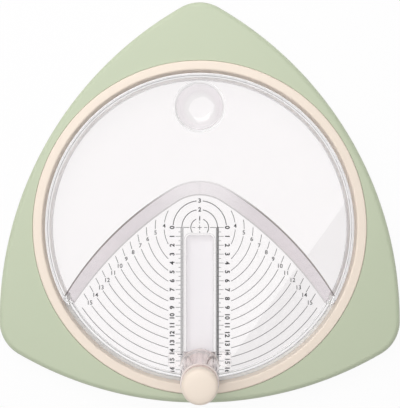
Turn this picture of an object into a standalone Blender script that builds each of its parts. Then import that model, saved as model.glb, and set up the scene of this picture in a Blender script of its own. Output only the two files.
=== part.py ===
"""Circle cutter: a clear disc turns in a three-cornered body, and a knob on a slide carries the blade.

All lengths are in metres. The origin is on the resting surface below the centre of the body's outline,
+Z is up and +Y points to the corner opposite the knob. The disc turns about the line at DISC_Y.
Lengths called *_r are distances from the disc's axis, measured towards the knob, which lies on -Y.
"""
import math

import bmesh
import bpy
from mathutils import Matrix, Vector

MM = 0.001

# Fits and overruns
GAP = 0.3 * MM
FINE_GAP = 0.15 * MM
CUT_OVERRUN = 3.0 * MM
WELD = 0.01 * MM

# Circles that the blade can cut, and where the carriage stands: short of the largest one
BLADE_MIN_R = 5.0 * MM
BLADE_MAX_R = 75.0 * MM
CARRIAGE_SETBACK = 4.4 * MM

# Blade
BLADE_THICKNESS = 0.4 * MM
BLADE_WIDTH = 3.4 * MM
BLADE_TIP_Z = 1.7 * MM
BLADE_POINT_HEIGHT = 2.2 * MM
BLADE_HOLE_RADIUS = 0.8 * MM
BLADE_HOLE_DROP = 2.0 * MM
BLADE_TOP_CLEARANCE = 0.5 * MM

# Blade holder and blade screw
HOLDER_WIDTH = 5.4 * MM
HOLDER_DEPTH = 3.7 * MM
HOLDER_BOTTOM_Z = 3.2 * MM
HOLDER_EDGE_ROUND = 0.3 * MM
HOLDER_SHANK_RADIUS = 1.2 * MM
HOLDER_SHANK_HEIGHT = 3.0 * MM
BLADE_SCREW_HEAD_RADIUS = 1.3 * MM
BLADE_SCREW_HEAD_HEIGHT = 0.6 * MM
BLADE_SCREW_SHANK_RADIUS = 0.5 * MM
BLADE_SCREW_LENGTH = 2.4 * MM

# Stem screw and return spring
STROKE = 2.0 * MM
STEM_SCREW_HEAD_RADIUS = 1.9 * MM
STEM_SCREW_HEAD_HEIGHT = 1.6 * MM
STEM_SCREW_SHANK_RADIUS = 0.9 * MM
STEM_SCREW_REACH = 10.0 * MM
STEM_SCREW_WELL_CLEARANCE = 0.4 * MM
STEM_POST_RADIUS = 2.1 * MM
SPRING_POST_CLEARANCE = 0.7 * MM
SPRING_WIRE_RADIUS = 0.3 * MM
SPRING_WELL_CLEARANCE = 0.7 * MM
SPRING_LENGTH = 15.9 * MM
SPRING_TURNS = 8
SPRING_POINTS_PER_TURN = 10

# Slot and its rail
SLOT_HALF_WIDTH = 7.5 * MM
SLOT_CORNER_RADIUS = 2.6 * MM
RAIL_WIDTH = 1.3 * MM
RAIL_HEIGHT = 1.7 * MM
KEEPER_REBATE_WIDTH = 1.6 * MM
KEEPER_REBATE_DEPTH = 1.0 * MM

# Carriage
SLIDER_FRONT_REACH = 0.35 * MM
SLIDER_LENGTH = 7.75 * MM
WING_OVERHANG = 10.0 * MM
WING_FRONT_REACH = 1.2 * MM
WING_LENGTH = 8.5 * MM
WING_THICKNESS = 1.4 * MM
WING_CORNER_RADIUS = 1.5 * MM
FOOT_WALL = 1.5 * MM
FOOT_BLADE_CLEARANCE = 0.55 * MM
SCREW_WELL_WALL = 1.15 * MM
SLEEVE_RIM_WALL = 1.2 * MM
SLEEVE_TOP_Z = 40.0 * MM
SLEEVE_LIP_ROUND = 0.5 * MM
SLEEVE_FLOOR_THICKNESS = 1.6 * MM
BLADE_WAY_CLEARANCE = 0.4 * MM

# Keeper and its screws
KEEPER_THICKNESS = 0.6 * MM
KEEPER_SCREW_BACK = 2.4 * MM
KEEPER_SCREW_HEAD_RADIUS = 1.0 * MM
KEEPER_SCREW_HEAD_HEIGHT = 0.3 * MM
KEEPER_SCREW_SHANK_RADIUS = 0.5 * MM
KEEPER_SCREW_LENGTH = 2.9 * MM
KEEPER_SCREW_WAY_CLEARANCE = 0.2 * MM

# Knob and stem
STEM_FRONT_WALL = 0.95 * MM
STEM_FLUTE_COUNT = 16
STEM_FLUTE_RADIUS = 0.9 * MM
STEM_FLUTE_SINK = 0.45 * MM
SPIGOT_RADIUS = 5.0 * MM
SPIGOT_HEIGHT = 5.0 * MM
CAP_OVERHANG = 0.7 * MM
CAP_HEIGHT = 7.7 * MM
CAP_SHOULDER_ROUND = 3.2 * MM
CAP_FOOT_ROUND = 0.5 * MM
CAP_CROWN = 0.4 * MM

# Disc
DISC_WALL = 1.9 * MM
DISC_EDGE_ROUND = 1.8 * MM
DISC_PROUD = 0.1 * MM
PLATE_BOTTOM_Z = 0.8 * MM
PLATE_THICKNESS = 1.6 * MM
PLATEAU_THICKNESS = 2.0 * MM
FLANGE_THICKNESS = 1.5 * MM
SECTOR_RIM_STEP = 0.15 * MM

# V wall between the plateau and the low sector: a nose arc that runs on into two long arms
V_NOSE_APEX = 18.4 * MM
V_NOSE_RADIUS = 23.3 * MM
V_NOSE_HALF_DEG = 32.8
V_ARM_RADIUS = 200.0 * MM
V_ARM_REACH_SHARE = 1.15
V_NOSE_RUN = 6.7 * MM
V_RIM_RUN = 4.85 * MM
V_RUN_BULGE = 1.0 * MM
V_WALL = 1.8 * MM
NOSE_STEPS = 12
ARM_STEPS = 12

# Finger cup in the plateau
CUP_RIM_BAND = 4.9 * MM
CUP_MOUTH_RADIUS = 13.7 * MM
CUP_FLOOR_RADIUS = 4.0 * MM
CUP_DEPTH = 7.4 * MM
CUP_WALL = 1.5 * MM

# Retaining ring and its screws
RING_CLEARANCE = 1.45 * MM
RING_WIDTH = 5.35 * MM
RING_PROUD = 0.7 * MM
RING_EDGE_ROUND = 1.0 * MM
RING_LIP_WIDTH = 1.4 * MM
RING_SCREW_COUNT = 6
RING_SCREW_HEAD_RADIUS = 1.7 * MM
RING_SCREW_HEAD_HEIGHT = 0.6 * MM
RING_SCREW_SHANK_RADIUS = 0.85 * MM
RING_SCREW_LENGTH = 5.6 * MM

# Screws: tip, head and drive as shares of the shank and the head
SCREW_TIP_SHARE = 0.6
SCREW_HEAD_EDGE_SHARE = 0.35
SCREW_FACE_SHARE = 0.8
DRIVE_RADIUS_SHARE = 0.44
DRIVE_DEPTH_SHARE = 0.58
DRIVE_SIDES = 6

# Body shell, seen from above about the disc's axis
BODY_SIDE_BAND = 5.3 * MM
BODY_CORNER_OVERHANG = 27.6 * MM
BODY_CORNER_RADIUS = 21.0 * MM
BODY_BOTTOM_Z = 0.8 * MM
BODY_HEIGHT = 10.4 * MM
BODY_EDGE_ROUND = 3.6 * MM
BODY_WALL = 2.4 * MM
BODY_ROOF = 2.2 * MM
POCKET_INNER_WALL = 3.6 * MM
POCKET_END_WIDTH = 5.0 * MM
RIB_THICKNESS = 1.6 * MM
RIB_SPREAD_DEG = (-30.0, -16.0, 16.0, 30.0)
LEDGE_THICKNESS = 1.6 * MM
LEDGE_CLEARANCE = 0.7 * MM
CORNER_COUNT = 3

# Foot pads
PAD_CORNER_INSET = 16.1 * MM
PAD_RADIUS = 9.0 * MM
PAD_HEIGHT = 2.0 * MM
PAD_EDGE_ROUND = 0.5 * MM
PAD_BOSS_WALL = 1.6 * MM

# Facet counts and shading
DISC_STEPS = 80
KNOB_STEPS = 40
PAD_STEPS = 24
SCREW_STEPS = 10
ROUND_STEPS = 3
SIDE_ARC_STEPS = 20
CORNER_ARC_STEPS = 10
SHARP_DEG = 35.0
COIL_SHARP_DEG = 60.0
UPRIGHT_COSINE = 0.9

# Levels that follow from the sizes above
BODY_TOP_Z = BODY_BOTTOM_Z + BODY_HEIGHT
RING_TOP_Z = BODY_TOP_Z + RING_PROUD
DISC_TOP_Z = RING_TOP_Z + DISC_PROUD
LEDGE_TOP_Z = BODY_BOTTOM_Z + LEDGE_THICKNESS
FLANGE_BOTTOM_Z = LEDGE_TOP_Z + GAP
FLANGE_TOP_Z = FLANGE_BOTTOM_Z + FLANGE_THICKNESS
RING_LIP_Z = FLANGE_TOP_Z + GAP
SECTOR_RIM_Z = FLANGE_TOP_Z + SECTOR_RIM_STEP
PLATE_TOP_Z = PLATE_BOTTOM_Z + PLATE_THICKNESS
PLATEAU_UNDER_Z = DISC_TOP_Z - PLATEAU_THICKNESS
RAIL_TOP_Z = PLATE_TOP_Z + RAIL_HEIGHT
WING_BOTTOM_Z = max(RAIL_TOP_Z, SECTOR_RIM_Z) + GAP
WING_TOP_Z = WING_BOTTOM_Z + WING_THICKNESS
REBATE_TOP_Z = PLATE_BOTTOM_Z + KEEPER_REBATE_DEPTH
KEEPER_TOP_Z = REBATE_TOP_Z - GAP
KEEPER_SCREW_Z = PLATE_BOTTOM_Z
SLIDER_BOTTOM_Z = KEEPER_TOP_Z + GAP
SLEEVE_FLOOR_Z = RING_TOP_Z + GAP
SLEEVE_INSIDE_Z = SLEEVE_FLOOR_Z + SLEEVE_FLOOR_THICKNESS
STEM_SCREW_HEAD_TOP_Z = SLEEVE_FLOOR_Z - SLEEVE_FLOOR_THICKNESS
SPRING_TOP_Z = SLEEVE_INSIDE_Z + GAP + SPRING_LENGTH
BLADE_HOLE_Z = RAIL_TOP_Z + STROKE + BLADE_SCREW_HEAD_RADIUS + GAP
BLADE_TOP_Z = BLADE_HOLE_Z + BLADE_HOLE_DROP
STEM_FOOT_Z = BLADE_TOP_Z + BLADE_TOP_CLEARANCE
HOLDER_TOP_Z = STEM_FOOT_Z - GAP
CAP_BOTTOM_Z = SLEEVE_TOP_Z + STROKE + GAP
CAP_TOP_Z = CAP_BOTTOM_Z + CAP_HEIGHT
STEM_TOP_Z = CAP_BOTTOM_Z - GAP

# Places along the slot, from the blade outwards to the knob and the slot's end
BLADE_R = BLADE_MAX_R - CARRIAGE_SETBACK
BLADE_FRONT_R = BLADE_R - BLADE_THICKNESS / 2
BLADE_SCREW_FRONT_R = BLADE_FRONT_R - FINE_GAP - BLADE_SCREW_HEAD_HEIGHT
HOLDER_FRONT_R = BLADE_FRONT_R + BLADE_THICKNESS + FINE_GAP
HOLDER_BACK_R = HOLDER_FRONT_R + HOLDER_DEPTH
HOLDER_MIDDLE_R = (HOLDER_FRONT_R + HOLDER_BACK_R) / 2
FOOT_BORE_BACK_R = HOLDER_BACK_R + GAP
STEM_SCREW_WELL_RADIUS = STEM_SCREW_HEAD_RADIUS + STEM_SCREW_WELL_CLEARANCE
KNOB_R = FOOT_BORE_BACK_R + SCREW_WELL_WALL + STEM_SCREW_WELL_RADIUS
SLIDER_FRONT_R = BLADE_R - SLIDER_FRONT_REACH
SLIDER_BACK_R = SLIDER_FRONT_R + SLIDER_LENGTH
WING_FRONT_R = BLADE_R - WING_FRONT_REACH
SLOT_INNER_R = BLADE_MIN_R - SLIDER_FRONT_REACH - GAP
SLOT_OUTER_R = SLIDER_BACK_R + CARRIAGE_SETBACK + GAP
KEEPER_SCREW_R = SLIDER_FRONT_R + KEEPER_SCREW_BACK

# Knob and sleeve radii, and half widths across the slot
STEM_RADIUS = KNOB_R - HOLDER_FRONT_R + STEM_FRONT_WALL
CAP_RADIUS = STEM_RADIUS + CAP_OVERHANG
SLEEVE_BORE_RADIUS = STEM_RADIUS + GAP
SLEEVE_TOP_RADIUS = SLEEVE_BORE_RADIUS + SLEEVE_RIM_WALL
FOOT_BORE_RADIUS = KNOB_R - BLADE_SCREW_FRONT_R + FOOT_BLADE_CLEARANCE
SLEEVE_FOOT_RADIUS = FOOT_BORE_RADIUS + FOOT_WALL
SPRING_RADIUS = STEM_POST_RADIUS + SPRING_POST_CLEARANCE + SPRING_WIRE_RADIUS
SPRING_WELL_RADIUS = SPRING_RADIUS + SPRING_WIRE_RADIUS + SPRING_WELL_CLEARANCE
SLIDER_HALF_WIDTH = SLOT_HALF_WIDTH - GAP
REBATE_HALF_WIDTH = SLOT_HALF_WIDTH + KEEPER_REBATE_WIDTH
WING_HALF_SPAN = SLOT_HALF_WIDTH + WING_OVERHANG
BLADE_WAY_HALF_WIDTH = HOLDER_WIDTH / 2 + BLADE_WAY_CLEARANCE
KEEPER_SCREW_X = (BLADE_WAY_HALF_WIDTH + SLIDER_HALF_WIDTH) / 2

# Radii of the disc, the ring and the body, each from the one inside it
DISC_RADIUS = SLOT_OUTER_R + GAP + DISC_WALL
LEDGE_INNER_RADIUS = DISC_RADIUS + LEDGE_CLEARANCE
RING_INNER_RADIUS = DISC_RADIUS + RING_CLEARANCE
RING_OUTER_RADIUS = RING_INNER_RADIUS + RING_WIDTH
FLANGE_RADIUS = RING_INNER_RADIUS + RING_LIP_WIDTH
RING_SKIRT_RADIUS = FLANGE_RADIUS + GAP
RING_SCREW_CIRCLE = (RING_SKIRT_RADIUS + RING_OUTER_RADIUS) / 2
CUP_CENTRE_RADIUS = DISC_RADIUS - CUP_RIM_BAND - CUP_MOUTH_RADIUS
BODY_OPENING_RADIUS = RING_OUTER_RADIUS + GAP
SIDE_REACH = RING_OUTER_RADIUS + BODY_SIDE_BAND
CORNER_REACH = SIDE_REACH + BODY_CORNER_OVERHANG
PAD_REACH = CORNER_REACH - PAD_CORNER_INSET
DISC_Y = (SIDE_REACH - CORNER_REACH) / 2


def clear_scene():
    for item in list(bpy.data.objects):
        bpy.data.objects.remove(item, do_unlink=True)


def new_collection(name):
    collection = bpy.data.collections.new(name)
    bpy.context.scene.collection.children.link(collection)
    return collection


def make_material(name, colour, roughness, metallic=0.0, transmission=0.0):
    material = bpy.data.materials.new(name)
    material.use_nodes = True
    shader = material.node_tree.nodes["Principled BSDF"]
    shader.inputs["Base Color"].default_value = (*colour, 1.0)
    shader.inputs["Roughness"].default_value = roughness
    shader.inputs["Metallic"].default_value = metallic
    shader.inputs["Transmission Weight"].default_value = transmission
    return material


def put(mesh, name, collection, material=None, location=(0.0, 0.0, 0.0), parent=None):
    """Makes an object of a mesh and places it in the world, whatever its parent."""
    item = bpy.data.objects.new(name, mesh)
    collection.objects.link(item)
    if parent is not None:
        item.parent = parent
        item.matrix_parent_inverse = parent.matrix_world.inverted()
    item.location = location
    if material is not None:
        mesh.materials.append(material)
    return item


def put_empty(name, collection, location, parent=None):
    """Makes an empty on a joint's axis for the pieces that move with it."""
    empty = put(None, name, collection, location=location, parent=parent)
    bpy.context.view_layer.update()
    return empty


def bake(item):
    """Turns an object with modifiers, or a curve, into a plain mesh of the same shape."""
    bpy.context.view_layer.update()
    graph = bpy.context.evaluated_depsgraph_get()
    mesh = bpy.data.meshes.new_from_object(item.evaluated_get(graph))
    work = bmesh.new()
    work.from_mesh(mesh)
    bmesh.ops.remove_doubles(work, verts=work.verts, dist=WELD)
    work.to_mesh(mesh)
    work.free()
    mesh.transform(item.matrix_world)
    bpy.data.objects.remove(item, do_unlink=True)
    return mesh


def smooth(mesh, angle_deg=SHARP_DEG):
    mesh.shade_smooth()
    mesh.set_sharp_from_angle(angle=math.radians(angle_deg))


def turned(profile, steps, centre=(0.0, 0.0)):
    """Turns a profile of (radius, height) points, given down its outer side, into a closed mesh."""
    mesh = bpy.data.meshes.new("profile")
    count = len(profile)
    closed = profile[0][0] > 0 and profile[-1][0] > 0
    edges = [(index, index + 1) for index in range(count - 1)]
    if closed:
        edges.append((count - 1, 0))
    mesh.from_pydata([(radius, 0.0, height) for radius, height in profile], edges, [])
    item = put(mesh, "turning", CUTTERS)
    screw = item.modifiers.new("Turn", "SCREW")
    screw.steps = steps
    screw.render_steps = steps
    screw.use_merge_vertices = True
    screw.merge_threshold = WELD
    screw.use_normal_calculate = True
    item.location = (centre[0], centre[1], 0.0)
    result = bake(item)
    face_outwards(result)
    return result


def face_outwards(mesh):
    work = bmesh.new()
    work.from_mesh(mesh)
    bmesh.ops.recalc_face_normals(work, faces=work.faces)
    if work.calc_volume(signed=True) < 0:
        bmesh.ops.reverse_faces(work, faces=work.faces)
    work.to_mesh(mesh)
    work.free()


def arc_profile(centre, radius, start_deg, end_deg, steps=ROUND_STEPS):
    """Points of an arc in a turned profile, angles counted from +X towards +Z."""
    points = []
    for index in range(steps + 1):
        angle = math.radians(start_deg + (end_deg - start_deg) * index / steps)
        points.append((centre[0] + radius * math.cos(angle), centre[1] + radius * math.sin(angle)))
    return points


def cylinder(radius, low, high, centre=(0.0, 0.0), steps=SCREW_STEPS):
    work = bmesh.new()
    bmesh.ops.create_cone(
        work, cap_ends=True, segments=steps, radius1=radius, radius2=radius, depth=high - low
    )
    bmesh.ops.translate(work, verts=work.verts, vec=(centre[0], centre[1], (low + high) / 2))
    mesh = bpy.data.meshes.new("cylinder")
    work.to_mesh(mesh)
    work.free()
    return mesh


def box(low, high):
    work = bmesh.new()
    bmesh.ops.create_cube(work, size=1.0)
    size = [b - a for a, b in zip(low, high)]
    middle = [(a + b) / 2 for a, b in zip(low, high)]
    bmesh.ops.scale(work, verts=work.verts, vec=size)
    bmesh.ops.translate(work, verts=work.verts, vec=middle)
    mesh = bpy.data.meshes.new("box")
    work.to_mesh(mesh)
    work.free()
    return mesh


def plate(outline, low, high):
    """A flat outline, drawn as a 2D curve, given thickness between two heights."""
    curve = bpy.data.curves.new("outline", "CURVE")
    curve.dimensions = "2D"
    curve.fill_mode = "BOTH"
    curve.extrude = (high - low) / 2
    spline = curve.splines.new("POLY")
    spline.points.add(len(outline) - 1)
    for point, (x, y) in zip(spline.points, outline):
        point.co = (x, y, 0.0, 1.0)
    spline.use_cyclic_u = True
    item = put(curve, "outline", CUTTERS, location=(0.0, 0.0, (low + high) / 2))
    mesh = bake(item)
    face_outwards(mesh)
    return mesh


def loft(lower, upper, low, high):
    """A closed solid between two outlines with the same number of points."""
    work = bmesh.new()
    bottom = [work.verts.new((x, y, low)) for x, y in lower]
    top = [work.verts.new((x, y, high)) for x, y in upper]
    count = len(bottom)
    for index in range(count):
        after = (index + 1) % count
        work.faces.new((bottom[index], bottom[after], top[after], top[index]))
    work.faces.new(bottom[::-1])
    work.faces.new(top)
    bmesh.ops.triangulate(work, faces=work.faces[:])
    mesh = bpy.data.meshes.new("loft")
    work.to_mesh(mesh)
    work.free()
    face_outwards(mesh)
    return mesh


def combine(mesh, other, operation):
    """Joins, cuts or intersects two closed meshes."""
    target = put(mesh, "target", CUTTERS)
    tool = put(other, "tool", CUTTERS)
    tool.hide_render = True
    tool.display_type = "WIRE"
    step = target.modifiers.new("Combine", "BOOLEAN")
    step.operation = operation
    step.solver = "EXACT"
    step.object = tool
    result = bake(target)
    bpy.data.objects.remove(tool, do_unlink=True)
    return result


def join(mesh, *others):
    for other in others:
        mesh = combine(mesh, other, "UNION")
    return mesh


def cut(mesh, *others):
    for other in others:
        mesh = combine(mesh, other, "DIFFERENCE")
    return mesh


def common(mesh, other):
    return combine(mesh, other, "INTERSECT")


def rounded(mesh, width):
    """Rounds every sharp edge."""
    item = put(mesh, "rounding", CUTTERS)
    bevel = item.modifiers.new("Round", "BEVEL")
    bevel.width = width
    bevel.segments = 2
    bevel.limit_method = "ANGLE"
    bevel.angle_limit = math.radians(SHARP_DEG)
    return bake(item)


def moved(mesh, x=0.0, y=0.0, z=0.0):
    mesh.transform(Matrix.Translation((x, y, z)))
    return mesh


def at(r, x=0.0):
    """World X and Y of a place at distance r from the disc's axis on the knob's side."""
    return (x, DISC_Y - r)


def around(radius, angle_deg):
    """World X and Y of a place on a circle about the disc's axis."""
    angle = math.radians(angle_deg)
    return (radius * math.cos(angle), DISC_Y + radius * math.sin(angle))


def body_outline(inset):
    """The rounded triangle with bowed sides, drawn in by an inset."""
    side_radius = side_arc_radius() - inset
    corner_radius = BODY_CORNER_RADIUS - inset
    side_centre = side_arc_radius() - SIDE_REACH
    corner_centre = CORNER_REACH - BODY_CORNER_RADIUS
    points = []
    for index in range(CORNER_COUNT):
        corner = math.radians(90.0 + 360.0 * index / CORNER_COUNT)
        side = corner + math.pi / CORNER_COUNT
        middle = Vector((math.cos(corner), math.sin(corner))) * corner_centre
        hub = Vector((math.cos(side), math.sin(side))) * -side_centre
        meet = (middle - hub).normalized()
        meet_angle = math.atan2(meet.y, meet.x)
        half_corner = turn_between(corner, meet_angle)
        for step in range(CORNER_ARC_STEPS + 1):
            angle = corner + half_corner * (2 * step / CORNER_ARC_STEPS - 1)
            points.append(middle + Vector((math.cos(angle), math.sin(angle))) * corner_radius)
        half_side = turn_between(meet_angle, side)
        for step in range(1, SIDE_ARC_STEPS):
            angle = meet_angle + 2 * half_side * step / SIDE_ARC_STEPS
            points.append(hub + Vector((math.cos(angle), math.sin(angle))) * side_radius)
    return [(point.x, DISC_Y + point.y) for point in points]


def side_arc_radius():
    """The radius at which a side's arc runs smoothly into the rounds of its two corners."""
    corner_centre = CORNER_REACH - BODY_CORNER_RADIUS
    above = corner_centre ** 2 + SIDE_REACH ** 2 - corner_centre * SIDE_REACH - BODY_CORNER_RADIUS ** 2
    below = 2 * SIDE_REACH - corner_centre - 2 * BODY_CORNER_RADIUS
    return above / below


def turn_between(start, end):
    """The turn from one direction to the next one anticlockwise, less than half a turn."""
    return (end - start) % (2 * math.pi)


def wall_lines(inset):
    """The V wall's foot and top lines from rim to rim round the nose, both moved outwards by an inset."""
    half = math.radians(V_NOSE_HALF_DEG)
    sweep = V_ARM_REACH_SHARE * DISC_RADIUS / V_ARM_RADIUS
    nose_y = V_NOSE_APEX - V_NOSE_RADIUS
    arm_x = (V_NOSE_RADIUS - V_ARM_RADIUS) * math.sin(half)
    arm_y = nose_y + (V_NOSE_RADIUS - V_ARM_RADIUS) * math.cos(half)
    right = []
    for step in range(NOSE_STEPS + 1):
        right.append((0.0, nose_y, V_NOSE_RADIUS + inset, half * step / NOSE_STEPS, V_NOSE_RUN))
    for step in range(1, ARM_STEPS + 1):
        turn = sweep * step / ARM_STEPS
        share = turn * V_ARM_RADIUS / DISC_RADIUS
        run = V_NOSE_RUN + (V_RIM_RUN - V_NOSE_RUN) * share + V_RUN_BULGE * 4 * share * (1 - share)
        right.append((arm_x, arm_y, V_ARM_RADIUS + inset, half + turn, run))
    foot = []
    top = []
    for x, y, radius, angle, run in right:
        foot.append((x + radius * math.sin(angle), DISC_Y + y + radius * math.cos(angle)))
        top.append((x + (radius + run) * math.sin(angle), DISC_Y + y + (radius + run) * math.cos(angle)))
    return mirrored_line(foot), mirrored_line(top)


def mirrored_line(right):
    """A line from its left end to its right end, given its right half from the middle outwards."""
    return [(-x, y) for x, y in reversed(right[1:])] + right


def slot_outline(half_width, corner_radius, inner_r, outer_r):
    """An outline on the slot's line whose two corners nearest the disc's axis are rounded."""
    points = [at(outer_r, -half_width), at(outer_r, half_width)]
    for side, start in ((1, 0.0), (-1, 90.0)):
        for step in range(ROUND_STEPS + 1):
            angle = math.radians(start + 90.0 * step / ROUND_STEPS)
            x = side * (half_width - corner_radius) + corner_radius * math.cos(angle)
            r = inner_r + corner_radius - corner_radius * math.sin(angle)
            points.append(at(r, x))
    return points


def slot_box(half_width, front_r, back_r, low, high):
    """A box on the slot's line between two distances from the disc's axis."""
    return box((-half_width, at(back_r)[1], low), (half_width, at(front_r)[1], high))


def make_base_shell():
    """Hollow body with a round opening, a ledge for the disc, ribs and bosses for the pads."""
    solid = plate(body_outline(0.0), BODY_BOTTOM_Z, BODY_TOP_Z)
    solid = round_top_edge(solid, BODY_TOP_Z, BODY_EDGE_ROUND)
    pockets = plate(body_outline(BODY_WALL), BODY_BOTTOM_Z - CUT_OVERRUN, BODY_TOP_Z - BODY_ROOF)
    hub_radius = BODY_OPENING_RADIUS + POCKET_INNER_WALL
    hub = cylinder(hub_radius, -CUT_OVERRUN * 2, BODY_TOP_Z + CUT_OVERRUN, (0.0, DISC_Y), DISC_STEPS)
    pockets = cut(pockets, hub)
    for index in range(CORNER_COUNT):
        corner_deg = 90.0 + 360.0 * index / CORNER_COUNT
        for spread in RIB_SPREAD_DEG:
            pockets = cut(pockets, rib(corner_deg + spread))
        pockets = cut(pockets, side_block(corner_deg + 180.0 / CORNER_COUNT))
        pad = pad_centre(corner_deg)
        boss = cylinder(PAD_RADIUS + GAP + PAD_BOSS_WALL, -CUT_OVERRUN * 2, BODY_TOP_Z, pad, PAD_STEPS)
        pockets = cut(pockets, boss)
    shell = cut(solid, pockets)
    opening = cylinder(BODY_OPENING_RADIUS, LEDGE_TOP_Z, BODY_TOP_Z + CUT_OVERRUN, (0.0, DISC_Y), DISC_STEPS)
    through = cylinder(LEDGE_INNER_RADIUS, -CUT_OVERRUN, BODY_TOP_Z, (0.0, DISC_Y), DISC_STEPS)
    shell = cut(shell, opening, through)
    for index in range(CORNER_COUNT):
        pad = pad_centre(90.0 + 360.0 * index / CORNER_COUNT)
        seat = cylinder(PAD_RADIUS + GAP, -CUT_OVERRUN, PAD_HEIGHT + GAP, pad, PAD_STEPS)
        shell = cut(shell, seat)
    for index in range(RING_SCREW_COUNT):
        place = around(RING_SCREW_CIRCLE, screw_angle(index))
        way = cylinder(RING_SCREW_SHANK_RADIUS + GAP, -CUT_OVERRUN, LEDGE_TOP_Z + CUT_OVERRUN, place)
        well_top = BODY_BOTTOM_Z + RING_SCREW_HEAD_HEIGHT + GAP
        well = cylinder(RING_SCREW_HEAD_RADIUS + GAP, -CUT_OVERRUN, well_top, place)
        shell = cut(shell, way, well)
    smooth(shell)
    return shell


def round_top_edge(mesh, level, width):
    """Rounds the edges that lie at one level."""
    work = bmesh.new()
    work.from_mesh(mesh)
    bmesh.ops.dissolve_limit(work, angle_limit=math.radians(1.0), verts=work.verts, edges=work.edges)
    rim = [edge for edge in work.edges if all(abs(vert.co.z - level) < WELD for vert in edge.verts)]
    bmesh.ops.bevel(
        work, geom=rim, offset=width, segments=ROUND_STEPS, profile=0.5, affect="EDGES", clamp_overlap=False
    )
    work.to_mesh(mesh)
    work.free()
    return mesh


def rib(angle_deg):
    """A radial rib as a box that reaches past the body."""
    mesh = box(
        (0.0, -RIB_THICKNESS / 2, BODY_BOTTOM_Z - CUT_OVERRUN * 2),
        (CORNER_REACH + CUT_OVERRUN, RIB_THICKNESS / 2, BODY_TOP_Z),
    )
    return turned_about_axis(mesh, angle_deg)


def side_block(angle_deg):
    """Keeps the thin middle of a side solid, where outline and opening nearly meet."""
    depth = side_arc_radius() - BODY_WALL
    hub = BODY_OPENING_RADIUS + POCKET_INNER_WALL
    reach = hub + POCKET_END_WIDTH / 2
    offset = side_arc_radius() - SIDE_REACH
    half_angle = math.acos((depth ** 2 - reach ** 2 - offset ** 2) / (2 * reach * offset))
    half_width = reach * math.sin(half_angle)
    mesh = box(
        (0.0, -half_width, BODY_BOTTOM_Z - CUT_OVERRUN * 2),
        (CORNER_REACH, half_width, BODY_TOP_Z),
    )
    return turned_about_axis(mesh, angle_deg)


def turned_about_axis(mesh, angle_deg):
    mesh.transform(Matrix.Translation((0.0, DISC_Y, 0.0)) @ Matrix.Rotation(math.radians(angle_deg), 4, "Z"))
    return mesh


def pad_centre(angle_deg):
    return around(PAD_REACH, angle_deg)


def screw_angle(index):
    """The ring screws start half a step off the knob's line."""
    return 360.0 * (index + 0.5) / RING_SCREW_COUNT


def make_foot_pad():
    profile = [(0.0, PAD_HEIGHT), (PAD_RADIUS, PAD_HEIGHT)]
    profile += arc_profile((PAD_RADIUS - PAD_EDGE_ROUND, PAD_EDGE_ROUND), PAD_EDGE_ROUND, 0.0, -90.0)
    profile.append((0.0, 0.0))
    mesh = turned(profile, PAD_STEPS)
    smooth(mesh)
    return mesh


def make_retaining_ring():
    """Ring with a skirt round the disc's flange and a lip over it, drilled for the screws."""
    outer = RING_OUTER_RADIUS - RING_EDGE_ROUND
    inner = RING_INNER_RADIUS + RING_EDGE_ROUND
    level = RING_TOP_Z - RING_EDGE_ROUND
    profile = arc_profile((outer, level), RING_EDGE_ROUND, 90.0, 0.0)
    profile += [
        (RING_OUTER_RADIUS, FLANGE_BOTTOM_Z),
        (RING_SKIRT_RADIUS, FLANGE_BOTTOM_Z),
        (RING_SKIRT_RADIUS, RING_LIP_Z),
        (RING_INNER_RADIUS, RING_LIP_Z),
    ]
    profile += arc_profile((inner, level), RING_EDGE_ROUND, 180.0, 90.0)
    mesh = turned(profile, DISC_STEPS, (0.0, DISC_Y))
    top = BODY_BOTTOM_Z + RING_SCREW_LENGTH + GAP
    for index in range(RING_SCREW_COUNT):
        place = around(RING_SCREW_CIRCLE, screw_angle(index))
        mesh = cut(mesh, cylinder(RING_SCREW_SHANK_RADIUS + FINE_GAP, -CUT_OVERRUN, top, place))
    smooth(mesh)
    return mesh


def make_screw(head_radius, head_height, shank_radius, length):
    """Screw that points up: head at the bottom with a drive recess, its origin under the head."""
    tip_radius = shank_radius * SCREW_TIP_SHARE
    profile = [
        (0.0, length),
        (tip_radius, length),
        (shank_radius, length - tip_radius),
        (shank_radius, head_height),
        (head_radius, head_height),
        (head_radius, head_height * SCREW_HEAD_EDGE_SHARE),
        (head_radius * SCREW_FACE_SHARE, 0.0),
        (0.0, 0.0),
    ]
    mesh = turned(profile, SCREW_STEPS)
    recess = cylinder(
        head_radius * DRIVE_RADIUS_SHARE, -CUT_OVERRUN, head_height * DRIVE_DEPTH_SHARE, steps=DRIVE_SIDES
    )
    mesh = cut(mesh, recess)
    smooth(mesh)
    return mesh


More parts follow.
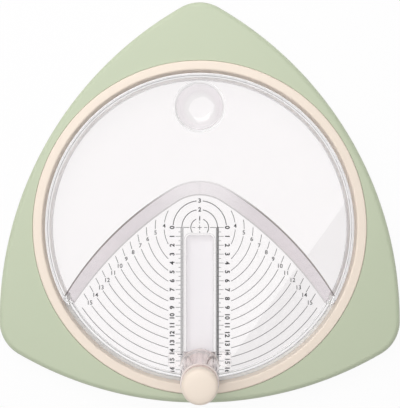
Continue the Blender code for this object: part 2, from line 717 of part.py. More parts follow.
def make_rotor_disc():
    """Clear disc: plateau with a finger cup, sloped V wall, low sector and railed slot in one moulding."""
    centre = (0.0, DISC_Y)
    shoulder = DISC_RADIUS - DISC_EDGE_ROUND
    profile = [(0.0, DISC_TOP_Z)]
    edge_z = DISC_TOP_Z - DISC_EDGE_ROUND
    profile += arc_profile((shoulder, edge_z), DISC_EDGE_ROUND, 90.0, 0.0, ROUND_STEPS + 1)
    profile += [
        (DISC_RADIUS, FLANGE_TOP_Z),
        (FLANGE_RADIUS, FLANGE_TOP_Z),
        (FLANGE_RADIUS, FLANGE_BOTTOM_Z),
        (DISC_RADIUS, FLANGE_BOTTOM_Z),
        (DISC_RADIUS, PLATE_BOTTOM_Z),
        (0.0, PLATE_BOTTOM_Z),
    ]
    solid = turned(profile, DISC_STEPS, centre)
    solid = cut(solid, sector_recess(), plateau_hollow())
    solid = cut(solid, sector_rim_cutter())
    cup_place = (0.0, DISC_Y + CUP_CENTRE_RADIUS)
    solid = join(solid, cup_solid(CUP_WALL, DISC_TOP_Z - PLATEAU_THICKNESS / 2, cup_place))
    solid = cut(solid, cup_cutter(cup_place))
    rail_end_r = DISC_RADIUS - DISC_WALL / 2
    rail_line = slot_outline(
        SLOT_HALF_WIDTH + RAIL_WIDTH, SLOT_CORNER_RADIUS + RAIL_WIDTH, SLOT_INNER_R - RAIL_WIDTH, rail_end_r
    )
    solid = join(solid, plate(rail_line, PLATE_TOP_Z - PLATE_THICKNESS / 2, RAIL_TOP_Z))
    slot_line = slot_outline(SLOT_HALF_WIDTH, SLOT_CORNER_RADIUS, SLOT_INNER_R, SLOT_OUTER_R)
    slot = plate(slot_line, -CUT_OVERRUN, RAIL_TOP_Z + CUT_OVERRUN)
    rebate = slot_box(REBATE_HALF_WIDTH, SLOT_INNER_R, SLOT_OUTER_R, -CUT_OVERRUN, REBATE_TOP_Z)
    solid = cut(solid, slot, rebate)
    smooth(solid)
    return solid


def inside_disc(mesh, low, high):
    """Keeps what lies inside the disc's wall between two levels."""
    barrel = cylinder(DISC_RADIUS - DISC_WALL, low, high, (0.0, DISC_Y), DISC_STEPS)
    return common(mesh, barrel)


def sector_recess():
    """The space above the low sector, with the V wall's slope on its edge."""
    return inside_disc(sloped_prism(0.0, below=True), PLATE_TOP_Z, DISC_TOP_Z + CUT_OVERRUN)


def plateau_hollow():
    """The hollow under the plateau, with the V wall's slope on its edge."""
    return inside_disc(sloped_prism(V_WALL, below=False), -CUT_OVERRUN, PLATEAU_UNDER_Z)


def sloped_prism(inset, below):
    """A solid on one side of the V wall, lofted from the plate's level to the plateau's and past both."""
    foot, top = wall_lines(inset)
    rise = DISC_TOP_Z - PLATE_TOP_Z
    low = PLATE_TOP_Z - rise
    high = DISC_TOP_Z + rise
    lower = [(2 * a[0] - b[0], 2 * a[1] - b[1]) for a, b in zip(foot, top)]
    upper = [(2 * b[0] - a[0], 2 * b[1] - a[1]) for a, b in zip(foot, top)]
    far_y = DISC_Y - CORNER_REACH * 2 if below else DISC_Y + CORNER_REACH * 2
    far_x = CORNER_REACH * 2
    corners = [(far_x, far_y), (-far_x, far_y)]
    if not below:
        side_y = DISC_Y - CORNER_REACH * 2
        corners = [(far_x, side_y)] + corners + [(-far_x, side_y)]
    return loft(lower + corners, upper + corners, low, high)


def sector_rim_cutter():
    """Lowers the disc's rim round the low sector to a low step above the flange."""
    wedge = sloped_prism(0.0, below=True)
    inner = DISC_RADIUS - DISC_WALL - DISC_EDGE_ROUND
    collar_profile = [
        (DISC_RADIUS + CUT_OVERRUN, DISC_TOP_Z + CUT_OVERRUN),
        (DISC_RADIUS + CUT_OVERRUN, SECTOR_RIM_Z),
        (inner, SECTOR_RIM_Z),
        (inner, DISC_TOP_Z + CUT_OVERRUN),
    ]
    return common(wedge, turned(collar_profile, DISC_STEPS, (0.0, DISC_Y)))


def cup_profile(grow, top):
    """Profile of the finger cup, from its mouth down a rounded wall to its floor."""
    floor_z = DISC_TOP_Z - CUP_DEPTH - grow
    mouth = CUP_MOUTH_RADIUS + grow
    floor = CUP_FLOOR_RADIUS
    bowl_height = CUP_DEPTH + grow
    points = [(0.0, top), (mouth, top)]
    for step in range(2 * ROUND_STEPS + 1):
        angle = math.radians(90.0 * step / (2 * ROUND_STEPS))
        radius = floor + (mouth - floor) * math.cos(angle)
        points.append((radius, floor_z + bowl_height - bowl_height * math.sin(angle)))
    points.append((0.0, floor_z))
    return points


def cup_solid(grow, top, place):
    points = [point for point in cup_profile(grow, DISC_TOP_Z) if point[1] < top]
    rim = points[0][0]
    return turned([(0.0, top), (rim, top)] + points, KNOB_STEPS, place)


def cup_cutter(place):
    return turned(cup_profile(0.0, DISC_TOP_Z + CUT_OVERRUN), KNOB_STEPS, place)


def make_carriage():
    """Clear slider: block in the slot, cursor wings, foot and tapered sleeve round the stem."""
    knob = at(KNOB_R)
    block_line = slot_outline(SLIDER_HALF_WIDTH, SLOT_CORNER_RADIUS - GAP, SLIDER_FRONT_R, SLIDER_BACK_R)
    block = plate(block_line, SLIDER_BOTTOM_Z, WING_BOTTOM_Z + GAP)
    wings = slot_box(WING_HALF_SPAN, WING_FRONT_R, WING_FRONT_R + WING_LENGTH, WING_BOTTOM_Z, WING_TOP_Z)
    wings = round_corners(wings, WING_CORNER_RADIUS)
    lip = SLEEVE_LIP_ROUND
    profile = [(0.0, SLEEVE_TOP_Z)]
    profile += arc_profile((SLEEVE_TOP_RADIUS - lip, SLEEVE_TOP_Z - lip), lip, 90.0, 0.0, 2)
    profile += [(SLEEVE_FOOT_RADIUS, SLEEVE_FLOOR_Z), (SLEEVE_FOOT_RADIUS, WING_BOTTOM_Z)]
    profile.append((0.0, WING_BOTTOM_Z))
    sleeve = cut(turned(profile, KNOB_STEPS, knob), beyond_ring_bore())
    body = join(sleeve, wings, block)
    bore = cylinder(SLEEVE_BORE_RADIUS, SLEEVE_INSIDE_Z, SLEEVE_TOP_Z + CUT_OVERRUN, knob, KNOB_STEPS)
    arm_way = cylinder(FOOT_BORE_RADIUS, WING_TOP_Z, SLEEVE_INSIDE_Z + GAP, knob, KNOB_STEPS)
    half = SLEEVE_FOOT_RADIUS + CUT_OVERRUN
    arm_way = cut(arm_way, slot_box(half, FOOT_BORE_BACK_R, KNOB_R + half, -CUT_OVERRUN, SLEEVE_TOP_Z))
    way_front = KNOB_R - FOOT_BORE_RADIUS + GAP
    blade_way = slot_box(BLADE_WAY_HALF_WIDTH, way_front, FOOT_BORE_BACK_R, -CUT_OVERRUN, WING_TOP_Z + GAP)
    stop_z = STEM_SCREW_HEAD_TOP_Z + GAP
    screw_well = cylinder(STEM_SCREW_WELL_RADIUS, -CUT_OVERRUN, stop_z, knob, SCREW_STEPS * 2)
    screw_way = cylinder(STEM_SCREW_SHANK_RADIUS + GAP, -CUT_OVERRUN, SLEEVE_TOP_Z, knob)
    body = cut(body, bore, arm_way, blade_way, screw_well, screw_way)
    pilot_top = KEEPER_SCREW_Z + KEEPER_SCREW_LENGTH + GAP
    for side in (-1, 1):
        place = at(KEEPER_SCREW_R, side * KEEPER_SCREW_X)
        body = cut(body, cylinder(KEEPER_SCREW_SHANK_RADIUS + FINE_GAP, -CUT_OVERRUN, pilot_top, place))
    smooth(body)
    return body


def beyond_ring_bore():
    """What the ring's bore leaves no room for under the sleeve when the carriage is all the way out."""
    half = SLEEVE_FOOT_RADIUS + CUT_OVERRUN
    beyond = slot_box(half, KNOB_R, KNOB_R + half, WING_BOTTOM_Z - CUT_OVERRUN, SLEEVE_FLOOR_Z)
    room_centre = at(-CARRIAGE_SETBACK)
    room = cylinder(RING_INNER_RADIUS - GAP, -CUT_OVERRUN, SLEEVE_TOP_Z, room_centre, DISC_STEPS)
    return cut(beyond, room)


def round_corners(mesh, width):
    """Rounds the upright edges of a box."""
    work = bmesh.new()
    work.from_mesh(mesh)
    upright = []
    for edge in work.edges:
        along = (edge.verts[0].co - edge.verts[1].co).normalized()
        if abs(along.z) > UPRIGHT_COSINE:
            upright.append(edge)
    bmesh.ops.bevel(work, geom=upright, offset=width, segments=ROUND_STEPS, profile=0.5, affect="EDGES")
    work.to_mesh(mesh)
    work.free()
    return mesh


def make_keeper_plate():
    """Thin plate that rides in the rebate under the slot, notched for the blade."""
    low = KEEPER_TOP_Z - KEEPER_THICKNESS
    half = REBATE_HALF_WIDTH - GAP
    mesh = slot_box(half, SLIDER_FRONT_R, FOOT_BORE_BACK_R + GAP, low, KEEPER_TOP_Z)
    notch_front = SLIDER_FRONT_R - CUT_OVERRUN
    mesh = cut(mesh, slot_box(BLADE_WAY_HALF_WIDTH, notch_front, FOOT_BORE_BACK_R, -CUT_OVERRUN, PLATE_TOP_Z))
    for side in (-1, 1):
        place = at(KEEPER_SCREW_R, side * KEEPER_SCREW_X)
        way_radius = KEEPER_SCREW_SHANK_RADIUS + KEEPER_SCREW_WAY_CLEARANCE
        way = cylinder(way_radius, -CUT_OVERRUN, PLATE_TOP_Z, place)
        well_top = KEEPER_SCREW_Z + KEEPER_SCREW_HEAD_HEIGHT + FINE_GAP / 2
        well = cylinder(KEEPER_SCREW_HEAD_RADIUS + FINE_GAP, -CUT_OVERRUN, well_top, place)
        mesh = cut(mesh, way, well)
    return mesh


def make_knob_stem():
    """Fluted stem with a cut-away foot over the blade, a spring well and a spigot for the cap."""
    knob = at(KNOB_R)
    mesh = cylinder(STEM_RADIUS, STEM_FOOT_Z, STEM_TOP_Z, knob, KNOB_STEPS)
    spigot_top = CAP_BOTTOM_Z + SPIGOT_HEIGHT
    mesh = join(mesh, cylinder(SPIGOT_RADIUS, STEM_TOP_Z - GAP, spigot_top, knob, KNOB_STEPS))
    half = STEM_RADIUS + CUT_OVERRUN
    shelf = SLEEVE_INSIDE_Z + STROKE + GAP
    mesh = cut(mesh, slot_box(half, HOLDER_BACK_R, KNOB_R + half, STEM_FOOT_Z - CUT_OVERRUN, shelf))
    flute_circle = STEM_RADIUS + STEM_FLUTE_RADIUS - STEM_FLUTE_SINK
    for index in range(STEM_FLUTE_COUNT):
        angle = 2 * math.pi * (index + 0.5) / STEM_FLUTE_COUNT
        place = (knob[0] + flute_circle * math.cos(angle), knob[1] + flute_circle * math.sin(angle))
        flute = cylinder(STEM_FLUTE_RADIUS, STEM_FOOT_Z - CUT_OVERRUN, STEM_TOP_Z + CUT_OVERRUN, place)
        mesh = cut(mesh, flute)
    well = cylinder(SPRING_WELL_RADIUS, SLEEVE_INSIDE_Z, SPRING_TOP_Z + GAP, knob, KNOB_STEPS // 2)
    post_low = SLEEVE_INSIDE_Z - CUT_OVERRUN
    post = cylinder(STEM_POST_RADIUS, post_low, SPRING_TOP_Z + CUT_OVERRUN, knob, SCREW_STEPS * 2)
    well = cut(well, post)
    post_end = cylinder(SPRING_WELL_RADIUS, SLEEVE_INSIDE_Z - GAP, shelf, knob, KNOB_STEPS // 2)
    mesh = cut(mesh, well, post_end)
    screw_top = STEM_SCREW_HEAD_TOP_Z + STEM_SCREW_REACH + GAP
    mesh = cut(mesh, cylinder(STEM_SCREW_SHANK_RADIUS + FINE_GAP, SLEEVE_INSIDE_Z, screw_top, knob))
    socket_top = HOLDER_TOP_Z + HOLDER_SHANK_HEIGHT + GAP
    socket_low = STEM_FOOT_Z - CUT_OVERRUN
    mesh = cut(mesh, cylinder(HOLDER_SHANK_RADIUS + FINE_GAP, socket_low, socket_top, at(HOLDER_MIDDLE_R)))
    smooth(mesh)
    return mesh


def make_knob_cap():
    """Cap with a flat crown, a rounded shoulder and a socket for the spigot."""
    knob = at(KNOB_R)
    shoulder = CAP_RADIUS - CAP_SHOULDER_ROUND
    shoulder_z = CAP_TOP_Z - CAP_CROWN - CAP_SHOULDER_ROUND
    profile = [(0.0, CAP_TOP_Z), (shoulder / 2, CAP_TOP_Z - CAP_CROWN / 4)]
    profile += arc_profile((shoulder, shoulder_z), CAP_SHOULDER_ROUND, 90.0, 0.0, ROUND_STEPS + 1)
    foot = CAP_FOOT_ROUND
    profile += arc_profile((CAP_RADIUS - foot, CAP_BOTTOM_Z + foot), foot, 0.0, -90.0, 2)
    profile.append((0.0, CAP_BOTTOM_Z))
    mesh = turned(profile, KNOB_STEPS, knob)
    socket_top = CAP_BOTTOM_Z + SPIGOT_HEIGHT + GAP
    mesh = cut(mesh, cylinder(SPIGOT_RADIUS + FINE_GAP, STEM_TOP_Z, socket_top, knob, KNOB_STEPS))
    smooth(mesh)
    return mesh


def make_return_spring():
    """Open coil round the stem's post, one unbroken wire with a pitch set by its length."""
    low = SLEEVE_INSIDE_Z + GAP + SPRING_WIRE_RADIUS
    high = SPRING_TOP_Z - SPRING_WIRE_RADIUS
    count = SPRING_TURNS * SPRING_POINTS_PER_TURN
    curve = bpy.data.curves.new("coil", "CURVE")
    curve.dimensions = "3D"
    curve.bevel_depth = SPRING_WIRE_RADIUS
    curve.bevel_resolution = 1
    curve.use_fill_caps = True
    spline = curve.splines.new("POLY")
    spline.points.add(count)
    centre = at(KNOB_R)
    for index, point in enumerate(spline.points):
        angle = 2 * math.pi * index / SPRING_POINTS_PER_TURN
        x = centre[0] + SPRING_RADIUS * math.cos(angle)
        y = centre[1] + SPRING_RADIUS * math.sin(angle)
        point.co = (x, y, low + (high - low) * index / count, 1.0)
    pitch = (high - low) / SPRING_TURNS
    print("spring: least gap between turns", round((pitch - 2 * SPRING_WIRE_RADIUS) / MM, 2), "mm")
    mesh = bake(put(curve, "coil", CUTTERS))
    face_outwards(mesh)
    smooth(mesh, COIL_SHARP_DEG)
    return mesh


def make_blade_holder():
    """Cartridge block with a round shank, drilled for the blade's screw."""
    half = HOLDER_WIDTH / 2
    mesh = slot_box(half, HOLDER_FRONT_R, HOLDER_BACK_R, HOLDER_BOTTOM_Z, HOLDER_TOP_Z)
    mesh = rounded(mesh, HOLDER_EDGE_ROUND)
    top = HOLDER_TOP_Z + HOLDER_SHANK_HEIGHT
    mesh = join(mesh, cylinder(HOLDER_SHANK_RADIUS, HOLDER_TOP_Z - GAP, top, at(HOLDER_MIDDLE_R)))
    hole = cylinder(BLADE_SCREW_SHANK_RADIUS + FINE_GAP, -CUT_OVERRUN, BLADE_SCREW_LENGTH + GAP)
    mesh = cut(mesh, blade_axis(hole))
    smooth(mesh)
    return mesh


def blade_axis(mesh):
    """Lays an upright screw or hole on the blade's axis, pointing away from the disc's centre."""
    front = at(BLADE_SCREW_FRONT_R)
    lay = Matrix.Rotation(math.radians(90.0), 4, "X")
    mesh.transform(Matrix.Translation((front[0], front[1], BLADE_HOLE_Z)) @ lay)
    return mesh


def make_blade():
    """Flat blade across the radius, ground to a point at its foot."""
    half = BLADE_WIDTH / 2
    outline = [
        (-half, BLADE_TOP_Z),
        (-half, BLADE_TIP_Z + BLADE_POINT_HEIGHT),
        (0.0, BLADE_TIP_Z),
        (half, BLADE_TIP_Z + BLADE_POINT_HEIGHT),
        (half, BLADE_TOP_Z),
    ]
    mesh = plate(outline, 0.0, BLADE_THICKNESS)
    stand = Matrix.Rotation(math.radians(90.0), 4, "X")
    place = at(BLADE_FRONT_R)
    mesh.transform(Matrix.Translation((place[0], place[1], 0.0)) @ stand)
    hole = cylinder(BLADE_HOLE_RADIUS, -CUT_OVERRUN, CUT_OVERRUN * 2)
    return cut(mesh, blade_axis(hole))


def make_blade_screw():
    mesh = make_screw(
        BLADE_SCREW_HEAD_RADIUS, BLADE_SCREW_HEAD_HEIGHT, BLADE_SCREW_SHANK_RADIUS, BLADE_SCREW_LENGTH
    )
    return blade_axis(mesh)


def place_piece(mesh, name, material, parent):
    """Puts a piece whose mesh is in world places under its joint's empty."""
    return put(mesh, name, PARTS, material, parent=parent)


clear_scene()
PARTS = new_collection("circle_cutter")
CUTTERS = new_collection("cutters")

GREEN = make_material("green_plastic", (0.58, 0.66, 0.47), 0.5)
CREAM = make_material("cream_plastic", (0.87, 0.77, 0.68), 0.4)
CLEAR = make_material("clear_plastic", (0.95, 0.95, 0.96), 0.05, transmission=1.0)
RUBBER = make_material("pad_rubber", (0.08, 0.08, 0.08), 0.8)
STEEL = make_material("steel", (0.62, 0.62, 0.64), 0.3, metallic=1.0)

base_axis = put_empty("base_axis", PARTS, (0.0, 0.0, 0.0))
rotor_axis = put_empty("rotor_axis", PARTS, (0.0, DISC_Y, 0.0), base_axis)
carriage_slide = put_empty("carriage_slide", PARTS, (*at(BLADE_R), WING_BOTTOM_Z), rotor_axis)
knob_slide = put_empty("knob_slide", PARTS, (*at(KNOB_R), SLEEVE_TOP_Z), carriage_slide)

place_piece(make_base_shell(), "base_shell", GREEN, base_axis)
place_piece(make_retaining_ring(), "retaining_ring", CREAM, base_axis)
pad_mesh = make_foot_pad()
pad_mesh.materials.append(RUBBER)
for number in range(CORNER_COUNT):
    x, y = pad_centre(90.0 + 360.0 * number / CORNER_COUNT)
    put(pad_mesh, f"foot_pad_{number + 1}", PARTS, location=(x, y, 0.0), parent=base_axis)
ring_screw_mesh = make_screw(
    RING_SCREW_HEAD_RADIUS, RING_SCREW_HEAD_HEIGHT, RING_SCREW_SHANK_RADIUS, RING_SCREW_LENGTH
)
ring_screw_mesh.materials.append(STEEL)
for number in range(RING_SCREW_COUNT):
    x, y = around(RING_SCREW_CIRCLE, screw_angle(number))
    put(ring_screw_mesh, f"ring_screw_{number + 1}", PARTS, location=(x, y, BODY_BOTTOM_Z), parent=base_axis)

place_piece(make_rotor_disc(), "rotor_disc", CLEAR, rotor_axis)

place_piece(make_carriage(), "carriage", CLEAR, carriage_slide)
place_piece(make_keeper_plate(), "keeper_plate", STEEL, carriage_slide)
keeper_screw_mesh = make_screw(
    KEEPER_SCREW_HEAD_RADIUS, KEEPER_SCREW_HEAD_HEIGHT, KEEPER_SCREW_SHANK_RADIUS, KEEPER_SCREW_LENGTH
)
keeper_screw_mesh.materials.append(STEEL)
for number, side in enumerate((-1, 1)):
    place = (*at(KEEPER_SCREW_R, side * KEEPER_SCREW_X), KEEPER_SCREW_Z)
    put(keeper_screw_mesh, f"keeper_screw_{number + 1}", PARTS, location=place, parent=carriage_slide)
place_piece(make_return_spring(), "return_spring", STEEL, carriage_slide)

place_piece(make_knob_stem(), "knob_stem", CREAM, knob_slide)
place_piece(make_knob_cap(), "knob_cap", CREAM, knob_slide)
stem_screw_mesh = make_screw(
    STEM_SCREW_HEAD_RADIUS,
    STEM_SCREW_HEAD_HEIGHT,
    STEM_SCREW_SHANK_RADIUS,
    STEM_SCREW_HEAD_HEIGHT + STEM_SCREW_REACH,
)
moved(stem_screw_mesh, *at(KNOB_R), STEM_SCREW_HEAD_TOP_Z - STEM_SCREW_HEAD_HEIGHT)
place_piece(stem_screw_mesh, "stem_screw", STEEL, knob_slide)
place_piece(make_blade_holder(), "blade_holder", CREAM, knob_slide)
place_piece(make_blade(), "blade", STEEL, knob_slide)
place_piece(make_blade_screw(), "blade_screw", STEEL, knob_slide)
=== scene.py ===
"""Looks of the circle cutter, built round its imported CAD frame. Lengths are in metres."""
import math

import bmesh
import bpy
from mathutils import Matrix, Vector


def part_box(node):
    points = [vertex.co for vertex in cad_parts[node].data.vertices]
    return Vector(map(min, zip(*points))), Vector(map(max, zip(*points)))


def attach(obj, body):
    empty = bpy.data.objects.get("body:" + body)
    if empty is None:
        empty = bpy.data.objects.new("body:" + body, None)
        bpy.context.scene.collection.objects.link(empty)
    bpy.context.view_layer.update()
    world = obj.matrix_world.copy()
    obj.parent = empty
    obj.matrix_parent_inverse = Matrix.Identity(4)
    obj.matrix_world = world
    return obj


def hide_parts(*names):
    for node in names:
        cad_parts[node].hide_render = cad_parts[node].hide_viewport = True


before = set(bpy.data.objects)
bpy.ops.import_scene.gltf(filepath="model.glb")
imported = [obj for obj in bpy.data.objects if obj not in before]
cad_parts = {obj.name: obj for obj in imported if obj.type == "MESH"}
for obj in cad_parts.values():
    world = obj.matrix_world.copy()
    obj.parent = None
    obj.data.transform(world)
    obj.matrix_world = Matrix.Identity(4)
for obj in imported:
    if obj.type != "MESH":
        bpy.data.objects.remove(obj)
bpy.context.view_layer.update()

MM = 0.001

# Shared by all the pieces
WELD = 0.0015 * MM
OVER = 4.0 * MM
FINE_OVER = 0.3 * MM
SINK = 0.5 * MM
SMALL_ROUND = 0.3 * MM
ROUND_STEPS = 64
DISC_STEPS = 288
BODY_STEPS = 256
KNOB_STEPS = 96
WELL_STEPS = 48
SCREW_STEPS = 32
PILOT_STEPS = 24
SHARP_DEG = 32.0


def heights(name):
    return [corner[2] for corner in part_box(name)]


def half_width(name):
    low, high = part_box(name)
    return (high[0] - low[0]) / 2


def centre_y(name):
    low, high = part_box(name)
    return (low[1] + high[1]) / 2


# Places read from the frame
AXIS_Y = centre_y("retaining_ring")
KNOB_R = AXIS_Y - centre_y("knob_cap")
BLADE_R = AXIS_Y - centre_y("blade")
RING_RADIUS = half_width("retaining_ring")
FLANGE_RADIUS = half_width("rotor_disc")
CAP_RADIUS = half_width("knob_cap")
RING_FOOT, RING_TOP = heights("retaining_ring")
BODY_FOOT, BODY_TOP = heights("base_shell")
PLATE_FOOT, DISC_TOP = heights("rotor_disc")
SLIDER_FOOT, SLEEVE_TOP = heights("carriage")
CAP_FOOT, CAP_TOP = heights("knob_cap")
STEM_FOOT, STEM_TOP = heights("knob_stem")
SPRING_TOP = heights("return_spring")[1]

# Body
CORNER_DEGS = (90.0, 210.0, 330.0)
CORNER_REACH = 124.6 * MM
SIDE_REACH = 97.0 * MM
SIDE_ARC = 199.417 * MM
CORNER_RADIUS = 21.0 * MM
BODY_EDGE_ROUND = 3.6 * MM
BODY_FOOT_ROUND = 0.5 * MM
BODY_WALL = 2.4 * MM
BODY_ROOF = 2.2 * MM
POCKET_WALL = 3.6 * MM
POCKET_END = 5.0 * MM
POCKET_ROUND = 1.0 * MM
RIB_WIDTH = 1.6 * MM
RIB_SPREAD_DEG = (-30.0, -16.0, 16.0, 30.0)
LEDGE = 1.6 * MM
LEDGE_BORE = 85.6 * MM
PAD_REACH = 108.5 * MM
PAD_SEAT = 9.3 * MM
PAD_SEAT_TOP = 2.3 * MM
PAD_BOSS_WALL = 1.6 * MM
RING_SEAT = RING_RADIUS + 0.12 * MM
RING_SEAT_LIP = 0.12 * MM
SEAT_LIP_SHARE = 0.3

# Ring and its screws
RING_BORE = 86.35 * MM
RING_SKIRT = 88.05 * MM
RING_LIP_FOOT = 4.5 * MM
RING_ROUND = 1.0 * MM
RING_PILOT = 1.0 * MM
RING_PILOT_TOP = 6.7 * MM
SCREW_CIRCLE = (RING_SKIRT + RING_RADIUS) / 2
SCREW_COUNT = 6
SCREW_WELL = 2.0 * MM
SCREW_WELL_TOP = 1.7 * MM
SCREW_WAY = 1.15 * MM

# Disc
DISC_RADIUS = 84.9 * MM
DISC_BORE = 83.0 * MM
DISC_ROUND = 0.9 * MM
SECTOR_ROUND = 0.8 * MM
PLATEAU_ROUND = 2.5 * MM
PLATE_TOP = 2.4 * MM
PLATEAU_UNDER = 10.0 * MM
PLATEAU_UNDER_ROUND = 0.6 * MM
FLANGE_FOOT = 2.7 * MM
FLANGE_TOP = 4.2 * MM
SECTOR_RIM_TOP = 4.35 * MM
STEP_ROOM = 0.05 * MM
V_NOSE_APEX = 18.4 * MM
V_NOSE_RADIUS = 23.3 * MM
V_NOSE_HALF_DEG = 32.8
V_ARM_RADIUS = 200.0 * MM
V_ARM_SHARE = 1.15
V_NOSE_RUN = 6.7 * MM
V_RIM_RUN = 4.85 * MM
V_RUN_BULGE = 1.0 * MM
V_WALL = 1.8 * MM
V_TOP_ROUND = 1.5 * MM
V_FOOT_ROUND = 1.2 * MM
CUP_R = 66.3 * MM
CUP_MOUTH = 14.6 * MM
CUP_DEPTH = 7.4 * MM
CUP_WALL = 2.0 * MM
CUP_LIP = 3.0 * MM
CUP_SLOPE_DEG = 55.0
CUP_BOWL = 7.0 * MM
SLOT_HALF = 7.5 * MM
SLOT_INNER = 4.35 * MM
SLOT_OUTER = 82.7 * MM
SLOT_CORNER = 2.6 * MM
RAIL_WIDTH = 1.3 * MM
RAIL_TOP = 4.1 * MM
RAIL_ROUND = 0.35 * MM
RAIL_OVERLAP = 1.0 * MM
REBATE_WIDTH = 1.6 * MM
REBATE_TOP = 1.8 * MM

# Carriage
SLIDER_HALF = 7.2 * MM
SLIDER_CORNER = 2.3 * MM
SLIDER_EDGE = 0.2 * MM
SLIDER_FRONT = BLADE_R - 0.35 * MM
SLIDER_BACK = 78.0 * MM
WING_HALF = 17.5 * MM
WING_FRONT = BLADE_R - 1.2 * MM
WING_LENGTH = 8.5 * MM
WING_FOOT = 4.65 * MM
WING_TOP = 6.05 * MM
WING_CORNER = 1.5 * MM
WING_EDGE = 0.3 * MM
SLEEVE_FOOT = 10.8 * MM
SLEEVE_HEAD = 9.9 * MM
SLEEVE_BORE = 8.7 * MM
SLEEVE_BORE_FOOT = 9.55 * MM
SLEEVE_CHAMFER = 0.4 * MM
SLEEVE_STEP = 12.2 * MM
SLEEVE_FLOOR = 13.8 * MM
SLEEVE_LIP = 0.5 * MM
FOOT_BORE = 9.3 * MM
FOOT_BORE_BACK = 74.95 * MM
RING_ROOM = 86.05 * MM
CARRIAGE_SETBACK = 4.4 * MM
BLADE_WAY_HALF = 3.1 * MM
WELL_RADIUS = 2.3 * MM
WELL_TOP = 10.9 * MM
SCREW_SHAFT_WAY = 1.2 * MM
KEEPER_SCREW_R = SLIDER_FRONT + 2.4 * MM
KEEPER_SCREW_X = 5.15 * MM
KEEPER_PILOT = 0.65 * MM
KEEPER_PILOT_TOP = 4.0 * MM

# Stem and cap
STEM_RADIUS = 8.4 * MM
STEM_SHOULDER = 42.0 * MM
STEM_ROUND = 0.5 * MM
STEM_SHELF = 16.1 * MM
STEM_BACK_GAP = 0.3 * MM
FLUTE_COUNT = 16
FLUTE_DEPTH = 0.45 * MM
FLUTE_SWELL = 1.4
FLUTE_RIB = 0.4
SPIGOT_RADIUS = 5.0 * MM
SPIGOT_CHAMFER = 0.4 * MM
SPRING_WELL = 4.1 * MM
SPRING_POST = 2.1 * MM
PRESS_ROOM = 2.3 * MM
STEM_BORE = 1.05 * MM
STEM_BORE_TOP = 20.9 * MM
HOLDER_FRONT = BLADE_R + 0.35 * MM
HOLDER_BACK = 74.65 * MM
HOLDER_SOCKET = 1.35 * MM
HOLDER_SOCKET_TOP = 13.2 * MM
CAP_FLAT = 5.9 * MM
CAP_SHOULDER = 2.6 * MM
CAP_SLOPE_DEG = 14.0
CAP_CROWN = 0.2 * MM
CAP_FOOT_ROUND = 0.5 * MM
CAP_SOCKET = 5.15 * MM
CAP_SOCKET_DEPTH = 5.3 * MM

# Printed scale; inner rings as (number, start in degrees, room beside the digit)
INK_HEIGHT = 0.03 * MM
INK_LIFT = 0.01 * MM
UNIT_R = 5.0 * MM
RING_LINE = 0.3 * MM
BOLD_LINE = 0.42 * MM
FIRST_OUTER_RING = 4
LAST_RING = 16
RING_DIGIT = 3.3 * MM
RULER_DIGIT = 3.6 * MM
DIGIT_STEPS = 4
DIGIT_WEIGHT = 0.012
BOLD_WEIGHT = 0.035
RULER_EDGE = 9.35 * MM
RULER_TICK_END = 10.8 * MM
RULER_HALF_END = 11.9 * MM
RULER_UNIT_END = 13.5 * MM
RULER_LABEL_X = 15.4 * MM
RULER_TICK = 0.24 * MM
RULER_BOLD = 0.4 * MM
RULER_TICKS = 165
ARC_START_X = 17.7 * MM
ARC_STEP_DEG = 1.5
LABEL_INSET = 7.2 * MM
STUB_INSET = 1.6 * MM
LABEL_GAP = 2.0 * MM
INNER_RINGS = ((1, -34.0, LABEL_GAP), (2, 0.0, 1.7 * MM), (3, 5.0, 1.7 * MM))
CROSS_HALF = 1.3 * MM
CROSS_ACROSS_MM = ((0.0, 1.1), (2.5, 4.2), (5.8, 9.1))
CROSS_ALONG_MM = ((2.2, 3.2), (-3.2, -2.2))
INDEX_START = 9.6 * MM
INDEX_END = 12.4 * MM
INDEX_LINE = 0.35 * MM

# Colours and grain of the materials
PATCH_RAMP = (0.3, 0.7)
GRAIN_DETAIL = 4.0
GRAIN_BUMP = 0.35
NOISE_ROUGHNESS = 0.5
PLASTIC_GRAIN = 2600.0
# Painted shade for the hollows of the stem's flutes
FLUTE_SHADE = (0.72, 0.55, 0.52)
CLEAR_IOR = 1.49
SHADOW_TINT = (0.965, 0.955, 0.962)
# A clearer tint near the rim: painted light over the shade seen through the rim wall
RIM_CLEAR = (0.985, 0.975, 0.98)
HAZE_SCALE = 240.0
HAZE_DETAIL = 2.0
HAZE_ROUGHNESS = (0.0, 0.03)
# How the painted shade on the V wall drifts and deepens along its arms
DRIFT_SCALE = 25.0
DRIFT_RANGE = (-0.25, 0.25)
DRIFT_ALONG = 0.8

# Clear plastic: tilts run from 0 on a level face to 1 on an upright one
# The tilts over which sloped faces take their painted shade
WALL_TILT = (0.02, 0.4)
EDGE_RISE = (0.004, 0.03)
EDGE_FALL = (0.3, 0.42)
UPRIGHT_TILT = (0.5, 0.75)
INNER_TILT_RISE = (0.02, 0.08)
INNER_TILT_FALL = (0.85, 0.95)
UNDER_TILT = (0.002, 0.03)
